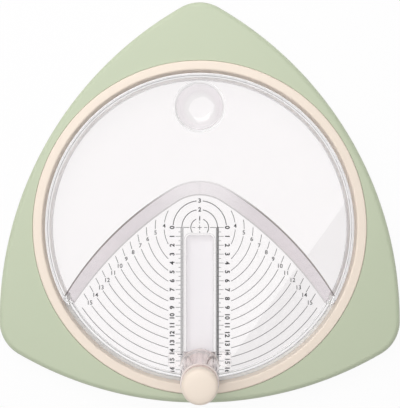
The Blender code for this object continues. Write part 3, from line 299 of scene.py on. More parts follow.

# Clear plastic: where painted shade darkens its moulded edges and where it is milky, with how much
NOSE_X = 8.0 * MM
ARM_X = 36.0 * MM
NOSE_EDGE_SHADE = 0.3
ARM_EDGE_SHADE = 1.0
LOW_EDGE_SHADE = 0.5
ROUND_SHADE_LINE = 0.45
FINE_LINE = 0.1 * MM
RIM_ZONE = (DISC_BORE - 1.0 * MM, DISC_BORE - 0.5 * MM)
UPRIGHT_MILK = 0.85
RIM_MILK = 0.1
# The rim's rounding is milky white: a painted highlight along the rim, which the lamps still light
ROUND_MILK = 0.9
ROUND_MILK_RISE = 0.15 * MM
INNER_ROUND_MILK = 0.9
UNDER_MILK_RISE = 0.5 * MM
UNDER_MILK_END = 0.05 * MM
UNDER_MILK_TOP = 0.1 * MM
UNDER_MILK_ZONE = (
    PLATEAU_UNDER - 1.2 * PLATEAU_ROUND, PLATEAU_UNDER - PLATEAU_ROUND)
FLANGE_MILK = 0.6
FLANGE_ZONE = (DISC_RADIUS + 0.05 * MM, DISC_RADIUS + 0.25 * MM)
CUP_LIP_MILK = 0.8
CUP_LIP_START = (CUP_MOUTH - 2.2 * MM, CUP_MOUTH - 1.5 * MM)
CUP_LIP_END = (CUP_MOUTH - 0.7 * MM, CUP_MOUTH)
CUP_LIP_LEVEL = (PLATEAU_UNDER + 0.1 * MM, PLATEAU_UNDER + 0.5 * MM)
LIP_MILK = 0.8
LIP_HAZE_FROM = SLEEVE_TOP - 0.9 * MM
LIP_HAZE_RISE = 0.5 * MM
FOOT_MILK = 0.7
SLEEVE_MILK = 0.1
FOOT_MILK_ZONE = (WING_TOP + 1.0 * MM, 1.3 * SLEEVE_FLOOR)
FOOT_MILK_END = (SLEEVE_FOOT + 0.1 * MM, SLEEVE_FOOT + 0.5 * MM)

# Floor and studio; the shares are of plain white in the floor, as the camera sees it
OPEN_WHITE = 0.93
# Less plain white under the body: a painted shade there, over the floor's real shade
UNDER_WHITE = 0.1
THROUGH_WHITE = 0.85
FLOOR_COLOUR = (0.9, 0.87, 0.893)
FLOOR_ROUGHNESS = 0.9
FLOOR_HALF = 3.0
FLOOR_LEVEL = -0.2 * MM
SKY_RAMP = (0.0, 0.75)
SKY_LOW = (0.42, 0.42, 0.43)
SKY_HIGH = (0.9, 0.9, 0.9)
SKY_STRENGTH = 0.45
LAMPS = (
    ("key", (-0.194, 0.125, 0.6), (0.0, AXIS_Y, 0.0), 0.9, 3.1),
    ("back", (-0.1, 0.5, 0.5), (0.0, 0.0, 0.0), 0.5, 1.3),
    ("fill", (0.5, -0.2, 0.8), (0.0, 0.0, 0.0), 0.7, 0.2),
)

# Camera above the disc's axis, with lengths of the photograph's frame in pixels
CAMERA_HEIGHT = 362.0 * MM
FOCAL_PIXELS = 639.4
FRAME_PIXELS = 408.0
SHIFT_PIXELS = (0.3, 23.45)
SENSOR_MM = 36.0
CLIP_START = 0.01


def link(data, name):
    item = bpy.data.objects.new(name, data)
    bpy.context.scene.collection.objects.link(item)
    return item


def to_mesh(work):
    mesh = bpy.data.meshes.new("shape")
    work.to_mesh(mesh)
    work.free()
    return mesh


def closed_mesh(work):
    """A closed mesh with its faces turned outwards."""
    bmesh.ops.recalc_face_normals(work, faces=work.faces)
    if work.calc_volume(signed=True) < 0:
        bmesh.ops.reverse_faces(work, faces=work.faces)
    return to_mesh(work)


def evaluated(item):
    """The mesh of an object with its modifiers applied; the object is removed."""
    bpy.context.view_layer.update()
    graph = bpy.context.evaluated_depsgraph_get()
    mesh = bpy.data.meshes.new_from_object(item.evaluated_get(graph))
    bpy.data.objects.remove(item, do_unlink=True)
    return mesh


def at(r, x=0.0):
    """A place by its distance from the disc's axis towards the knob and its x."""
    return (x, AXIS_Y - r)


def on_circle(centre, radius, angle):
    return (centre[0] + radius * math.cos(angle), centre[1] + radius * math.sin(angle))


def around(radius, angle_deg):
    return on_circle((0.0, AXIS_Y), radius, math.radians(angle_deg))


AXIS = at(0.0)
KNOB = at(KNOB_R)
PAD_PLACES = [around(PAD_REACH, angle_deg) for angle_deg in CORNER_DEGS]
SCREW_PLACES = [around(SCREW_CIRCLE, 360.0 * (index + 0.5) / SCREW_COUNT)
                for index in range(SCREW_COUNT)]


def arc(centre, radius, start_deg, end_deg, steps=8):
    span = end_deg - start_deg
    return [on_circle(centre, radius, math.radians(start_deg + span * step / steps))
            for step in range(steps + 1)]


def turned(profile, steps, centre):
    """A solid of revolution; its (radius, height) points end on the axis or form a loop."""
    work = bmesh.new()
    flat_start = profile[0][0] == 0 and abs(profile[0][1] - profile[1][1]) < WELD
    flat_end = profile[-1][0] == 0 and abs(profile[-1][1] - profile[-2][1]) < WELD
    rows = []
    for radius, height in profile[int(flat_start):len(profile) - int(flat_end)]:
        if radius == 0:
            rows.append([work.verts.new((*centre, height))] * steps)
            continue
        places = [on_circle(centre, radius, 2 * math.pi * step / steps) for step in range(steps)]
        rows.append([work.verts.new((x, y, height)) for x, y in places])
    if profile[0][0] > 0 and profile[-1][0] > 0:
        rows.append(rows[0])
    for upper, lower in zip(rows, rows[1:]):
        for step in range(steps):
            after = (step + 1) % steps
            corners = (upper[step], lower[step], lower[after], upper[after])
            work.faces.new(list(dict.fromkeys(corners)))
    if flat_start:
        work.faces.new(rows[0])
    if flat_end:
        work.faces.new(rows[-1][::-1])
    return closed_mesh(work)


def stack(levels):
    """A solid through outlines of equal point count, as [(rising height, outline), ...]."""
    work = bmesh.new()
    rows = [[work.verts.new((x, y, height)) for x, y in outline] for height, outline in levels]
    count = len(rows[0])
    for lower, upper in zip(rows, rows[1:]):
        for index in range(count):
            after = (index + 1) % count
            work.faces.new((lower[index], lower[after], upper[after], upper[index]))
    work.faces.new(rows[0][::-1])
    work.faces.new(rows[-1])
    return closed_mesh(work)


def tube(radius, low, high, centre, steps=ROUND_STEPS):
    return turned([(0.0, high), (radius, high), (radius, low), (0.0, low)], steps, centre)


def block(low, high):
    outline = [(low[0], low[1]), (high[0], low[1]), (high[0], high[1]), (low[0], high[1])]
    return stack([(low[2], outline), (high[2], outline)])


def slot_block(half, front, back, low, high):
    return block((-half, AXIS_Y - back, low), (half, AXIS_Y - front, high))


def combine(mesh, other, operation):
    target = link(mesh, "target")
    tool = link(other, "tool")
    step = target.modifiers.new("Combine", "BOOLEAN")
    step.operation = operation
    step.solver = "EXACT"
    step.object = tool
    work = bmesh.new()
    work.from_mesh(evaluated(target))
    bpy.data.objects.remove(tool, do_unlink=True)
    bmesh.ops.remove_doubles(work, verts=work.verts, dist=WELD)
    bmesh.ops.dissolve_degenerate(work, edges=work.edges, dist=WELD)
    return to_mesh(work)


def join(mesh, *others):
    for other in others:
        mesh = combine(mesh, other, "UNION")
    return mesh


def cut(mesh, *others):
    for other in others:
        mesh = combine(mesh, other, "DIFFERENCE")
    return mesh


def common(mesh, other):
    return combine(mesh, other, "INTERSECT")


def bored(mesh, places, steps, *holes):
    """Cuts the same round holes, each given as (radius, low, high), at several places."""
    for place in places:
        for hole in holes:
            mesh = cut(mesh, tube(*hole, place, steps))
    return mesh


def add_piece(mesh, name, body, material, nodes=()):
    """Gives a mesh its shading, material and body, and lets it stand for its CAD nodes."""
    mesh.name = name
    mesh.materials.clear()
    mesh.materials.append(material)
    mesh.shade_smooth()
    mesh.set_sharp_from_angle(angle=math.radians(SHARP_DEG))
    item = link(mesh, name)
    even = item.modifiers.new("Even normals", "WEIGHTED_NORMAL")
    even.keep_sharp = True
    even.weight = 100
    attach(item, body)
    if nodes:
        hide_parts(*nodes)


def body_outline(inset, side_steps=72, corner_steps=28):
    """The rounded triangle with bowed sides, drawn in by an inset."""
    points = []
    for corner_deg in CORNER_DEGS:
        side_deg = corner_deg + 60.0
        middle = around(CORNER_REACH - CORNER_RADIUS, corner_deg)
        hub = around(SIDE_REACH - SIDE_ARC, side_deg)
        meet_deg = math.degrees(math.atan2(middle[1] - hub[1], middle[0] - hub[0]))
        turn = (meet_deg - corner_deg) % 360.0
        points += arc(middle, CORNER_RADIUS - inset, corner_deg - turn, corner_deg + turn,
                      corner_steps)
        sweep = 2 * ((side_deg - meet_deg) % 360.0)
        points += arc(hub, SIDE_ARC - inset, meet_deg, meet_deg + sweep, side_steps)[1:-1]
    return points


def rounded_levels(low, high, outline, low_round, high_round, steps=8):
    """Levels of a prism whose bottom and top edges are rounded; outline takes an inset."""
    levels = [(0.0, low)]
    if low_round:
        levels = arc((low_round, low + low_round), low_round, 270.0, 180.0, steps)
    if high_round:
        levels += arc((high_round, high - high_round), high_round, 180.0, 90.0, steps)
    else:
        levels.append((0.0, high))
    return [(height, outline(inset)) for inset, height in levels]


def turn_mesh(mesh, angle_deg):
    turn = Matrix.Rotation(math.radians(angle_deg), 4, "Z")
    mesh.transform(Matrix.Translation((0.0, AXIS_Y, 0.0)) @ turn)
    return mesh


def side_keep(angle_deg):
    """The solid middle of a side, kept out of the underside's pockets."""
    depth = SIDE_ARC - BODY_WALL
    reach = RING_SEAT + POCKET_WALL + POCKET_END / 2
    offset = SIDE_ARC - SIDE_REACH
    half_angle = math.acos((depth ** 2 - reach ** 2 - offset ** 2) / (2 * reach * offset))
    half = reach * math.sin(half_angle)
    return turn_mesh(block((0.0, -half, -OVER), (CORNER_REACH, half, BODY_TOP)), angle_deg)


def body_pockets():
    """The hollows between the body's walls, ribs and pad bosses."""
    pockets = stack(rounded_levels(
        BODY_FOOT - OVER, BODY_TOP - BODY_ROOF, lambda inset: body_outline(BODY_WALL + inset),
        0.0, POCKET_ROUND, 4))
    hub = tube(RING_SEAT + POCKET_WALL, -2 * OVER, BODY_TOP + OVER, AXIS, BODY_STEPS)
    pockets = cut(pockets, hub)
    half_rib = RIB_WIDTH / 2
    for corner_deg, place in zip(CORNER_DEGS, PAD_PLACES):
        for spread in RIB_SPREAD_DEG:
            rib = block((0.0, -half_rib, -2 * OVER), (CORNER_REACH + OVER, half_rib, BODY_TOP))
            pockets = cut(pockets, turn_mesh(rib, corner_deg + spread))
        boss = tube(PAD_SEAT + PAD_BOSS_WALL, -2 * OVER, BODY_TOP, place)
        pockets = cut(pockets, side_keep(corner_deg + 60.0), boss)
    return pockets


def make_body_shell():
    solid = stack(rounded_levels(
        BODY_FOOT, BODY_TOP, body_outline, BODY_FOOT_ROUND, BODY_EDGE_ROUND))
    seat_low = BODY_FOOT + LEDGE
    lip = RING_SEAT + RING_SEAT_LIP
    lip_drop = RING_SEAT_LIP * SEAT_LIP_SHARE
    opening = turned([
        (0.0, BODY_TOP + OVER), (lip, BODY_TOP + OVER), (lip, BODY_TOP),
        (RING_SEAT + lip_drop, BODY_TOP - lip_drop), (RING_SEAT, BODY_TOP - RING_SEAT_LIP),
        (RING_SEAT, seat_low), (0.0, seat_low)], BODY_STEPS, AXIS)
    ledge_bore = tube(LEDGE_BORE, -OVER, BODY_TOP, AXIS, BODY_STEPS)
    shell = cut(solid, body_pockets(), opening, ledge_bore)
    shell = bored(shell, PAD_PLACES, ROUND_STEPS, (PAD_SEAT, -OVER, PAD_SEAT_TOP))
    return bored(shell, SCREW_PLACES, SCREW_STEPS, (SCREW_WAY, -OVER, FLANGE_FOOT),
                 (SCREW_WELL, -OVER, SCREW_WELL_TOP))


def make_ring():
    level = RING_TOP - RING_ROUND
    lip_centre = (RING_BORE + SMALL_ROUND, RING_LIP_FOOT + SMALL_ROUND)
    profile = arc((RING_RADIUS - RING_ROUND, level), RING_ROUND, 90.0, 0.0)
    profile += [(RING_RADIUS, RING_FOOT), (RING_SKIRT, RING_FOOT), (RING_SKIRT, RING_LIP_FOOT)]
    profile += arc(lip_centre, SMALL_ROUND, 270.0, 180.0, 4)
    profile += arc((RING_BORE + RING_ROUND, level), RING_ROUND, 180.0, 90.0)
    pilot = (RING_PILOT, -OVER, RING_PILOT_TOP)
    return bored(turned(profile, DISC_STEPS, AXIS), SCREW_PLACES, SCREW_STEPS, pilot)


def mirrored_line(right):
    """A whole line, given its right half from the middle outwards."""
    return [(-x, y) for x, y in reversed(right[1:])] + right


def wall_lines(inset, nose_steps=28, arm_steps=48):
    """The V wall's foot and top lines from rim to rim, both moved outwards by an inset."""
    half = math.radians(V_NOSE_HALF_DEG)
    sweep = V_ARM_SHARE * DISC_RADIUS / V_ARM_RADIUS
    nose_y = V_NOSE_APEX - V_NOSE_RADIUS
    arm_x = (V_NOSE_RADIUS - V_ARM_RADIUS) * math.sin(half)
    arm_y = nose_y + (V_NOSE_RADIUS - V_ARM_RADIUS) * math.cos(half)
    right = [(0.0, nose_y, V_NOSE_RADIUS + inset, half * step / nose_steps, V_NOSE_RUN)
             for step in range(nose_steps + 1)]
    for step in range(1, arm_steps + 1):
        turn = sweep * step / arm_steps
        share = turn * V_ARM_RADIUS / DISC_RADIUS
        bulge = V_RUN_BULGE * 4 * share * (1 - share)
        run = V_NOSE_RUN + (V_RIM_RUN - V_NOSE_RUN) * share + bulge
        right.append((arm_x, arm_y, V_ARM_RADIUS + inset, half + turn, run))
    lines = [], []
    for x, y, radius, angle, run in right:
        for line, reach in zip(lines, (radius, radius + run)):
            line.append((x + reach * math.sin(angle), AXIS_Y + y + reach * math.cos(angle)))
    return [mirrored_line(line) for line in lines]


def wall_section(low, high, foot_round, top_round, steps=7):
    """Heights up the V wall, with their shares of the way from its foot to its top line."""
    rise = DISC_TOP - PLATE_TOP
    slope = math.atan2(rise, V_NOSE_RUN)
    run_per_rise = V_NOSE_RUN / rise
    foot_x = (low - PLATE_TOP) * run_per_rise - foot_round * math.tan(slope / 2)
    top_x = (high - PLATE_TOP) * run_per_rise + top_round * math.tan(slope / 2)
    slope_deg = math.degrees(slope)
    section = arc((foot_x, low + foot_round), foot_round, -90.0, slope_deg - 90.0, steps)
    section += arc((top_x, high - top_round), top_round, slope_deg + 90.0, 90.0, steps)
    return [(height, reach / V_NOSE_RUN) for reach, height in section]


def v_cutter(section, inset, over_sector, low, high):
    """A solid on one side of the V wall, over the sector or under the plateau."""
    foot, top = wall_lines(inset)
    far = 2 * CORNER_REACH
    corners = [(far, AXIS_Y - far), (-far, AXIS_Y - far)]
    if not over_sector:
        corners[1:1] = [(far, AXIS_Y + far), (-far, AXIS_Y + far)]
    levels = []
    for height, share in section:
        line = [(a[0] + (b[0] - a[0]) * share, a[1] + (b[1] - a[1]) * share)
                for a, b in zip(foot, top)]
        levels.append((height, line + corners))
    return stack([(low, levels[0][1]), *levels, (high, levels[-1][1])])


def slot_outline(half, corner, inner, outer, steps=8):
    """An outline on the slot's line with rounded corners at its inner end."""
    points = [at(outer, -half), at(outer, half)]
    for side, start in ((1, 0.0), (-1, 90.0)):
        middle = at(inner + corner, side * (half - corner))
        points += arc(middle, corner, start, start + 90.0, steps)
    return points


def cup_profile(grow, top):
    """The finger cup's section, moved into the plastic by grow."""
    slope = math.radians(CUP_SLOPE_DEG)
    lip_run, lip_drop = CUP_LIP * math.sin(slope), CUP_LIP * (1 - math.cos(slope))
    bowl_drop = CUP_BOWL * (1 - math.cos(slope))
    cone_run = (CUP_DEPTH - lip_drop - bowl_drop) / math.tan(slope)
    flat = CUP_MOUTH - lip_run - cone_run - CUP_BOWL * math.sin(slope)
    lip = max(CUP_LIP - grow, 0.0)
    bowl_level = DISC_TOP - CUP_DEPTH + CUP_BOWL
    points = [(0.0, top), (CUP_MOUTH, top)]
    points += arc((CUP_MOUTH, DISC_TOP - CUP_LIP), lip, 90.0, 90.0 + CUP_SLOPE_DEG)
    points += arc((flat, bowl_level), CUP_BOWL + grow, CUP_SLOPE_DEG - 90.0, -90.0, 16)
    return points + [(0.0, points[-1][1])]


def disc_blank():
    """The disc before it is hollowed."""
    flange_centre = (FLANGE_RADIUS - SMALL_ROUND, FLANGE_TOP - SMALL_ROUND)
    foot_centre = (DISC_RADIUS - SMALL_ROUND, PLATE_FOOT + SMALL_ROUND)
    profile = [(0.0, DISC_TOP)]
    profile += arc((DISC_RADIUS - DISC_ROUND, DISC_TOP - DISC_ROUND), DISC_ROUND, 90.0, 0.0, 10)
    profile += [(DISC_RADIUS, FLANGE_TOP)]
    profile += arc(flange_centre, SMALL_ROUND, 90.0, 0.0, 3)
    profile += [(FLANGE_RADIUS, FLANGE_FOOT), (DISC_RADIUS, FLANGE_FOOT)]
    profile += arc(foot_centre, SMALL_ROUND, 0.0, -90.0, 3)
    profile += [(0.0, PLATE_FOOT)]
    return turned(profile, DISC_STEPS, AXIS)


def sector_recess():
    """The space above the low sector and its rim, up to the V wall."""
    top = DISC_TOP + OVER
    step_top = FLANGE_TOP + STEP_ROOM
    rim_level = SECTOR_RIM_TOP - RAIL_ROUND
    rise_deg = math.degrees(math.asin((step_top - rim_level) / RAIL_ROUND))
    corner = SECTOR_ROUND
    profile = [(0.0, top), (DISC_RADIUS + OVER, top), (DISC_RADIUS + OVER, step_top)]
    profile += arc((DISC_RADIUS - RAIL_ROUND, rim_level), RAIL_ROUND, rise_deg, 90.0, 4)
    profile += arc((DISC_BORE + RAIL_ROUND, rim_level), RAIL_ROUND, 90.0, 180.0, 4)
    profile += arc((DISC_BORE - corner, PLATE_TOP + corner), corner, 0.0, -90.0, 6)
    profile += [(0.0, PLATE_TOP)]
    section = wall_section(PLATE_TOP, DISC_TOP, V_FOOT_ROUND, V_TOP_ROUND)
    wedge = v_cutter(section, 0.0, True, PLATE_TOP - OVER, top + OVER)
    return common(wedge, turned(profile, DISC_STEPS, AXIS))


def plateau_hollow():
    """The hollow under the plateau, up to the V wall."""
    corner = PLATEAU_ROUND
    profile = [(0.0, PLATEAU_UNDER)]
    profile += arc((DISC_BORE - corner, PLATEAU_UNDER - corner), corner, 90.0, 0.0, 14)
    profile += [(DISC_BORE, -OVER), (0.0, -OVER)]
    low = PLATE_FOOT + SMALL_ROUND
    section = wall_section(low, PLATEAU_UNDER, SMALL_ROUND, PLATEAU_UNDER_ROUND)
    wedge = v_cutter(section, V_WALL, False, -2 * OVER, PLATEAU_UNDER + OVER)
    return common(wedge, turned(profile, DISC_STEPS, AXIS))


def make_disc():
    """Plateau with a finger cup, V wall, low sector and railed slot in one moulding."""
    cup_place = (0.0, AXIS_Y + CUP_R)
    cup_shell = turned(cup_profile(CUP_WALL, DISC_TOP), KNOB_STEPS, cup_place)
    hollow = cut(plateau_hollow(), cup_shell)
    cup = turned(cup_profile(0.0, DISC_TOP + OVER), KNOB_STEPS, cup_place)
    solid = cut(disc_blank(), sector_recess(), hollow, cup)
    rail_end = DISC_BORE + RAIL_OVERLAP

    def rail_outline(inset):
        return slot_outline(SLOT_HALF + RAIL_WIDTH - inset, SLOT_CORNER + RAIL_WIDTH - inset,
                            SLOT_INNER - RAIL_WIDTH + inset, rail_end)

    rail = rounded_levels(PLATE_TOP - SINK, RAIL_TOP, rail_outline, 0.0, RAIL_ROUND, 4)
    solid = join(solid, stack(rail))
    edge = arc((RAIL_ROUND, RAIL_TOP - RAIL_ROUND), RAIL_ROUND, 180.0, 90.0, 4)[:-1]
    slot = stack([
        (height, slot_outline(SLOT_HALF + grow, SLOT_CORNER + grow, SLOT_INNER - grow, SLOT_OUTER))
        for grow, height in [(0.0, -OVER), *edge, (RAIL_ROUND + OVER, RAIL_TOP + OVER)]])
    half_rebate = SLOT_HALF + REBATE_WIDTH
    return cut(solid, slot, slot_block(half_rebate, SLOT_INNER, SLOT_OUTER, -OVER, REBATE_TOP))


def wing_outline(inset):
    front, back = WING_FRONT + WING_CORNER, WING_FRONT + WING_LENGTH - WING_CORNER
    side = WING_HALF - WING_CORNER
    middles = (at(back, side), at(front, side), at(front, -side), at(back, -side))
    points = []
    for middle, start in zip(middles, (270.0, 0.0, 90.0, 180.0)):
        points += arc(middle, WING_CORNER - inset, start, start + 90.0, 6)
    return points


def slider_outline(inset):
    corner = SLIDER_CORNER - inset
    return slot_outline(SLIDER_HALF - inset, corner, SLIDER_FRONT + inset, SLIDER_BACK)


def make_carriage():
    wings = stack(rounded_levels(WING_FOOT, WING_TOP, wing_outline, WING_EDGE, WING_EDGE, 4))
    slider = stack(rounded_levels(
        SLIDER_FOOT, WING_FOOT + SINK, slider_outline, SLIDER_EDGE, 0.0, 3))
    lip_centre = (SLEEVE_HEAD - SLEEVE_LIP, SLEEVE_TOP - SLEEVE_LIP)
    foot_centre = (SLEEVE_FOOT - WING_EDGE, WING_FOOT + WING_EDGE)
    profile = [(0.0, SLEEVE_TOP)] + arc(lip_centre, SLEEVE_LIP, 90.0, 0.0, 5)
    profile += [(SLEEVE_FOOT, SLEEVE_STEP)]
    profile += arc(foot_centre, WING_EDGE, 0.0, -90.0, 3) + [(0.0, WING_FOOT)]
    sleeve = turned(profile, KNOB_STEPS, KNOB)
    half = SLEEVE_FOOT + OVER
    beyond = slot_block(half, KNOB_R, KNOB_R + half, WING_FOOT - OVER, SLEEVE_STEP)
    room_place = at(-CARRIAGE_SETBACK)
    room = tube(RING_ROOM, -2 * OVER, SLEEVE_TOP, room_place, DISC_STEPS)
    body = join(cut(sleeve, cut(beyond, room)), wings, slider)
    mouth = SLEEVE_BORE + SLEEVE_CHAMFER
    bore = turned([
        (0.0, SLEEVE_TOP + OVER), (mouth, SLEEVE_TOP + OVER), (mouth, SLEEVE_TOP),
        (SLEEVE_BORE, SLEEVE_TOP - SLEEVE_CHAMFER), (SLEEVE_BORE_FOOT, SLEEVE_FLOOR),
        (0.0, SLEEVE_FLOOR)], KNOB_STEPS, KNOB)
    way = cut(tube(FOOT_BORE, WING_TOP, SLEEVE_FLOOR + FINE_OVER, KNOB, KNOB_STEPS),
              slot_block(half, FOOT_BORE_BACK, KNOB_R + half, -OVER, SLEEVE_TOP))
    way_front = KNOB_R - FOOT_BORE + FINE_OVER
    way_top = WING_TOP + FINE_OVER
    blade_way = slot_block(BLADE_WAY_HALF, way_front, FOOT_BORE_BACK, -OVER, way_top)
    body = cut(body, bore, way, blade_way, tube(WELL_RADIUS, -OVER, WELL_TOP, KNOB),
               tube(SCREW_SHAFT_WAY, -OVER, SLEEVE_TOP, KNOB, SCREW_STEPS))
    places = (at(KEEPER_SCREW_R, -KEEPER_SCREW_X), at(KEEPER_SCREW_R, KEEPER_SCREW_X))
    return bored(body, places, PILOT_STEPS, (KEEPER_PILOT, -OVER, KEEPER_PILOT_TOP))


def flute_outline(inset, steps_per_flute=10):
    """Round stem with shallow flutes between broad ribs."""
    points = []
    for index in range(FLUTE_COUNT * steps_per_flute):
        share = (index / steps_per_flute) % 1.0
        angle = 2 * math.pi * index / (FLUTE_COUNT * steps_per_flute)
        dip = max(0.0, math.cos(2 * math.pi * (share - 0.5)) * FLUTE_SWELL - FLUTE_RIB)
        points.append(on_circle(KNOB, STEM_RADIUS - inset - FLUTE_DEPTH * dip, angle))
    return points


def make_stem():
    mesh = stack(rounded_levels(
        STEM_FOOT, STEM_SHOULDER, flute_outline, SMALL_ROUND, STEM_ROUND, 4))
    spigot = turned([
        (0.0, STEM_TOP), (SPIGOT_RADIUS - SPIGOT_CHAMFER, STEM_TOP),
        (SPIGOT_RADIUS, STEM_TOP - SPIGOT_CHAMFER), (SPIGOT_RADIUS, STEM_SHOULDER - SINK),
        (0.0, STEM_SHOULDER - SINK)], ROUND_STEPS, KNOB)
    half = STEM_RADIUS + OVER
    back = FOOT_BORE_BACK - STEM_BACK_GAP
    heel = slot_block(half, back, KNOB_R + half, STEM_FOOT - OVER, STEM_SHELF)
    well_low, well_top = STEM_SHELF - OVER, SPRING_TOP + PRESS_ROOM
    well = turned([(SPRING_WELL, well_top), (SPRING_WELL, well_low), (SPRING_POST, well_low),
                   (SPRING_POST, well_top)], WELL_STEPS, KNOB)
    well_mouth = tube(SPRING_WELL, SLEEVE_FLOOR - FINE_OVER, STEM_SHELF, KNOB, WELL_STEPS)
    screw_way = tube(STEM_BORE, SLEEVE_FLOOR, STEM_BORE_TOP, KNOB, PILOT_STEPS)
    socket_place = at((HOLDER_FRONT + HOLDER_BACK) / 2)
    socket = tube(HOLDER_SOCKET, STEM_FOOT - OVER, HOLDER_SOCKET_TOP, socket_place, SCREW_STEPS)
    return cut(join(mesh, spigot), heel, well, well_mouth, screw_way, socket)


def make_cap():
    slope = math.radians(CAP_SLOPE_DEG)
    profile = [(0.0, CAP_TOP)]
    for step in range(1, 6):
        share = step / 5
        profile.append((CAP_FLAT * share, CAP_TOP - CAP_CROWN * share ** 2))
    slope_end = CAP_RADIUS - CAP_SHOULDER * (1 - math.sin(slope))
    slope_foot = CAP_TOP - CAP_CROWN - (slope_end - CAP_FLAT) * math.tan(slope)
    middle = (CAP_RADIUS - CAP_SHOULDER, slope_foot - CAP_SHOULDER * math.cos(slope))
    foot_centre = (CAP_RADIUS - CAP_FOOT_ROUND, CAP_FOOT + CAP_FOOT_ROUND)
    profile += arc(middle, CAP_SHOULDER, 90.0 - CAP_SLOPE_DEG, 0.0, 12)
    profile += arc(foot_centre, CAP_FOOT_ROUND, 0.0, -90.0, 4)
    profile.append((0.0, CAP_FOOT))
    socket = tube(CAP_SOCKET, CAP_FOOT - OVER, CAP_FOOT + CAP_SOCKET_DEPTH, KNOB)
    return cut(turned(profile, KNOB_STEPS, KNOB), socket)


class Graph:
    """Adds nodes to a node tree; a value is a socket, a number or a colour."""

    def __init__(self, tree):
        self.nodes = tree.nodes
        self.links = tree.links

    def feed(self, socket, value):
        if isinstance(value, bpy.types.NodeSocket):
            self.links.new(value, socket)
        else:
            socket.default_value = (*value, 1.0) if isinstance(value, tuple) else value

    def add(self, kind, inputs=None):
        node = self.nodes.new(kind)
        for name, value in (inputs or {}).items():
            self.feed(node.inputs[name], value)
        return node

    def calc(self, operation, *values):
        node = self.add("ShaderNodeMath")
        node.operation = operation
        for socket, value in zip(node.inputs, values):
            self.feed(socket, value)
        return node.outputs[0]

    def product(self, *values):
        total = values[0]
        for value in values[1:]:
            total = self.calc("MULTIPLY", total, value)
        return total

    def spread(self, value, low, high):
        ends = {"Value": value, "To Min": low, "To Max": high}
        return self.add("ShaderNodeMapRange", ends).outputs["Result"]

    def ease(self, value, low, high, start=0.0, end=1.0):
        """A smooth step from start to end while the value goes from low to high."""
        node = self.add("ShaderNodeMapRange", {
            "From Min": low, "From Max": high, "To Min": start, "To Max": end, "Value": value})
        node.interpolation_type = "SMOOTHSTEP"
        return node.outputs["Result"]

    def fall(self, value, low, high):
        return self.ease(value, low, high, 1.0, 0.0)

    def blend(self, share, first, second):
        mix = self.add("ShaderNodeMix")
        mix.data_type = "RGBA"
        sockets = {item.identifier: item for item in mix.inputs}
        for name, value in (("Factor_Float", share), ("A_Color", first), ("B_Color", second)):
            self.feed(sockets[name], value)
        return next(item for item in mix.outputs if item.identifier == "Result_Color")

    def ramp(self, value, ends, dark, light):
        node = self.add("ShaderNodeValToRGB", {"Fac": value})
        for element, place, colour in zip(node.color_ramp.elements, ends, (dark, light)):
            element.position = place
            element.color = (*colour, 1.0)
        return node.outputs["Color"]

    def noise(self, scale, detail=3.0):
        node = self.add("ShaderNodeTexNoise", {
            "Vector": self.add("ShaderNodeTexCoord").outputs["Object"], "Scale": scale,
            "Detail": detail, "Roughness": NOISE_ROUGHNESS})
        return node.outputs["Fac"]

    def split(self, vector):
        return self.add("ShaderNodeSeparateXYZ", {0: vector}).outputs

    def place(self):
        """The piece's own x, y and z."""
        return self.split(self.add("ShaderNodeTexCoord").outputs["Object"])

    def tilt(self):
        """Nought on level faces, one on upright ones."""
        up = self.split(self.add("ShaderNodeNewGeometry").outputs["Normal"])["Z"]
        return self.calc("SUBTRACT", 1.0, self.calc("ABSOLUTE", up))

    def reach(self, place, middle_y):
        """The distance from an upright axis at x = 0."""
        x, y = place[0], self.calc("SUBTRACT", place[1], middle_y)
        return self.calc("SQRT", self.calc("ADD", self.product(x, x), self.product(y, y)))

    def show(self, share, first, second, output="Material Output"):
        """Sends a mix of two shaders to the output."""
        mix = self.add("ShaderNodeMixShader", {0: share, 1: first, 2: second})
        self.links.new(mix.outputs[0], self.nodes[output].inputs["Surface"])


def new_material(name):
    """A material with its graph and its Principled shader."""
    material = bpy.data.materials.new(name)
    material.use_nodes = True
    graph = Graph(material.node_tree)
    return material, graph, graph.nodes["Principled BSDF"]


def surface(name, dark, light, patch_scale, rough, grain_scale, grain_height, metallic=0.0):
    """A Principled material whose colour and roughness drift and whose surface has a fine grain."""
    material, graph, shader = new_material(name)
    patches = graph.ramp(graph.noise(patch_scale), PATCH_RAMP, dark, light)
    graph.feed(shader.inputs["Base Color"], patches)
    grain = graph.noise(grain_scale, GRAIN_DETAIL)
    graph.feed(shader.inputs["Roughness"], graph.spread(grain, *rough))
    bump = graph.add("ShaderNodeBump", {
        "Strength": GRAIN_BUMP, "Distance": grain_height, "Height": grain})
    graph.feed(shader.inputs["Normal"], bump.outputs["Normal"])
    shader.inputs["Metallic"].default_value = metallic
    return material


def deepen_flutes(material):
    """Mixes a darker colour into the stem's flutes: painted shade in their hollows."""
    graph = Graph(material.node_tree)
    base = graph.nodes["Principled BSDF"].inputs["Base Color"]
    plain = base.links[0].from_socket
    reach = graph.reach(graph.place(), AXIS_Y - KNOB_R)
    depth = graph.fall(reach, STEM_RADIUS - FLUTE_DEPTH, STEM_RADIUS - FLUTE_DEPTH / 4)
    graph.feed(base, graph.blend(depth, plain, FLUTE_SHADE))


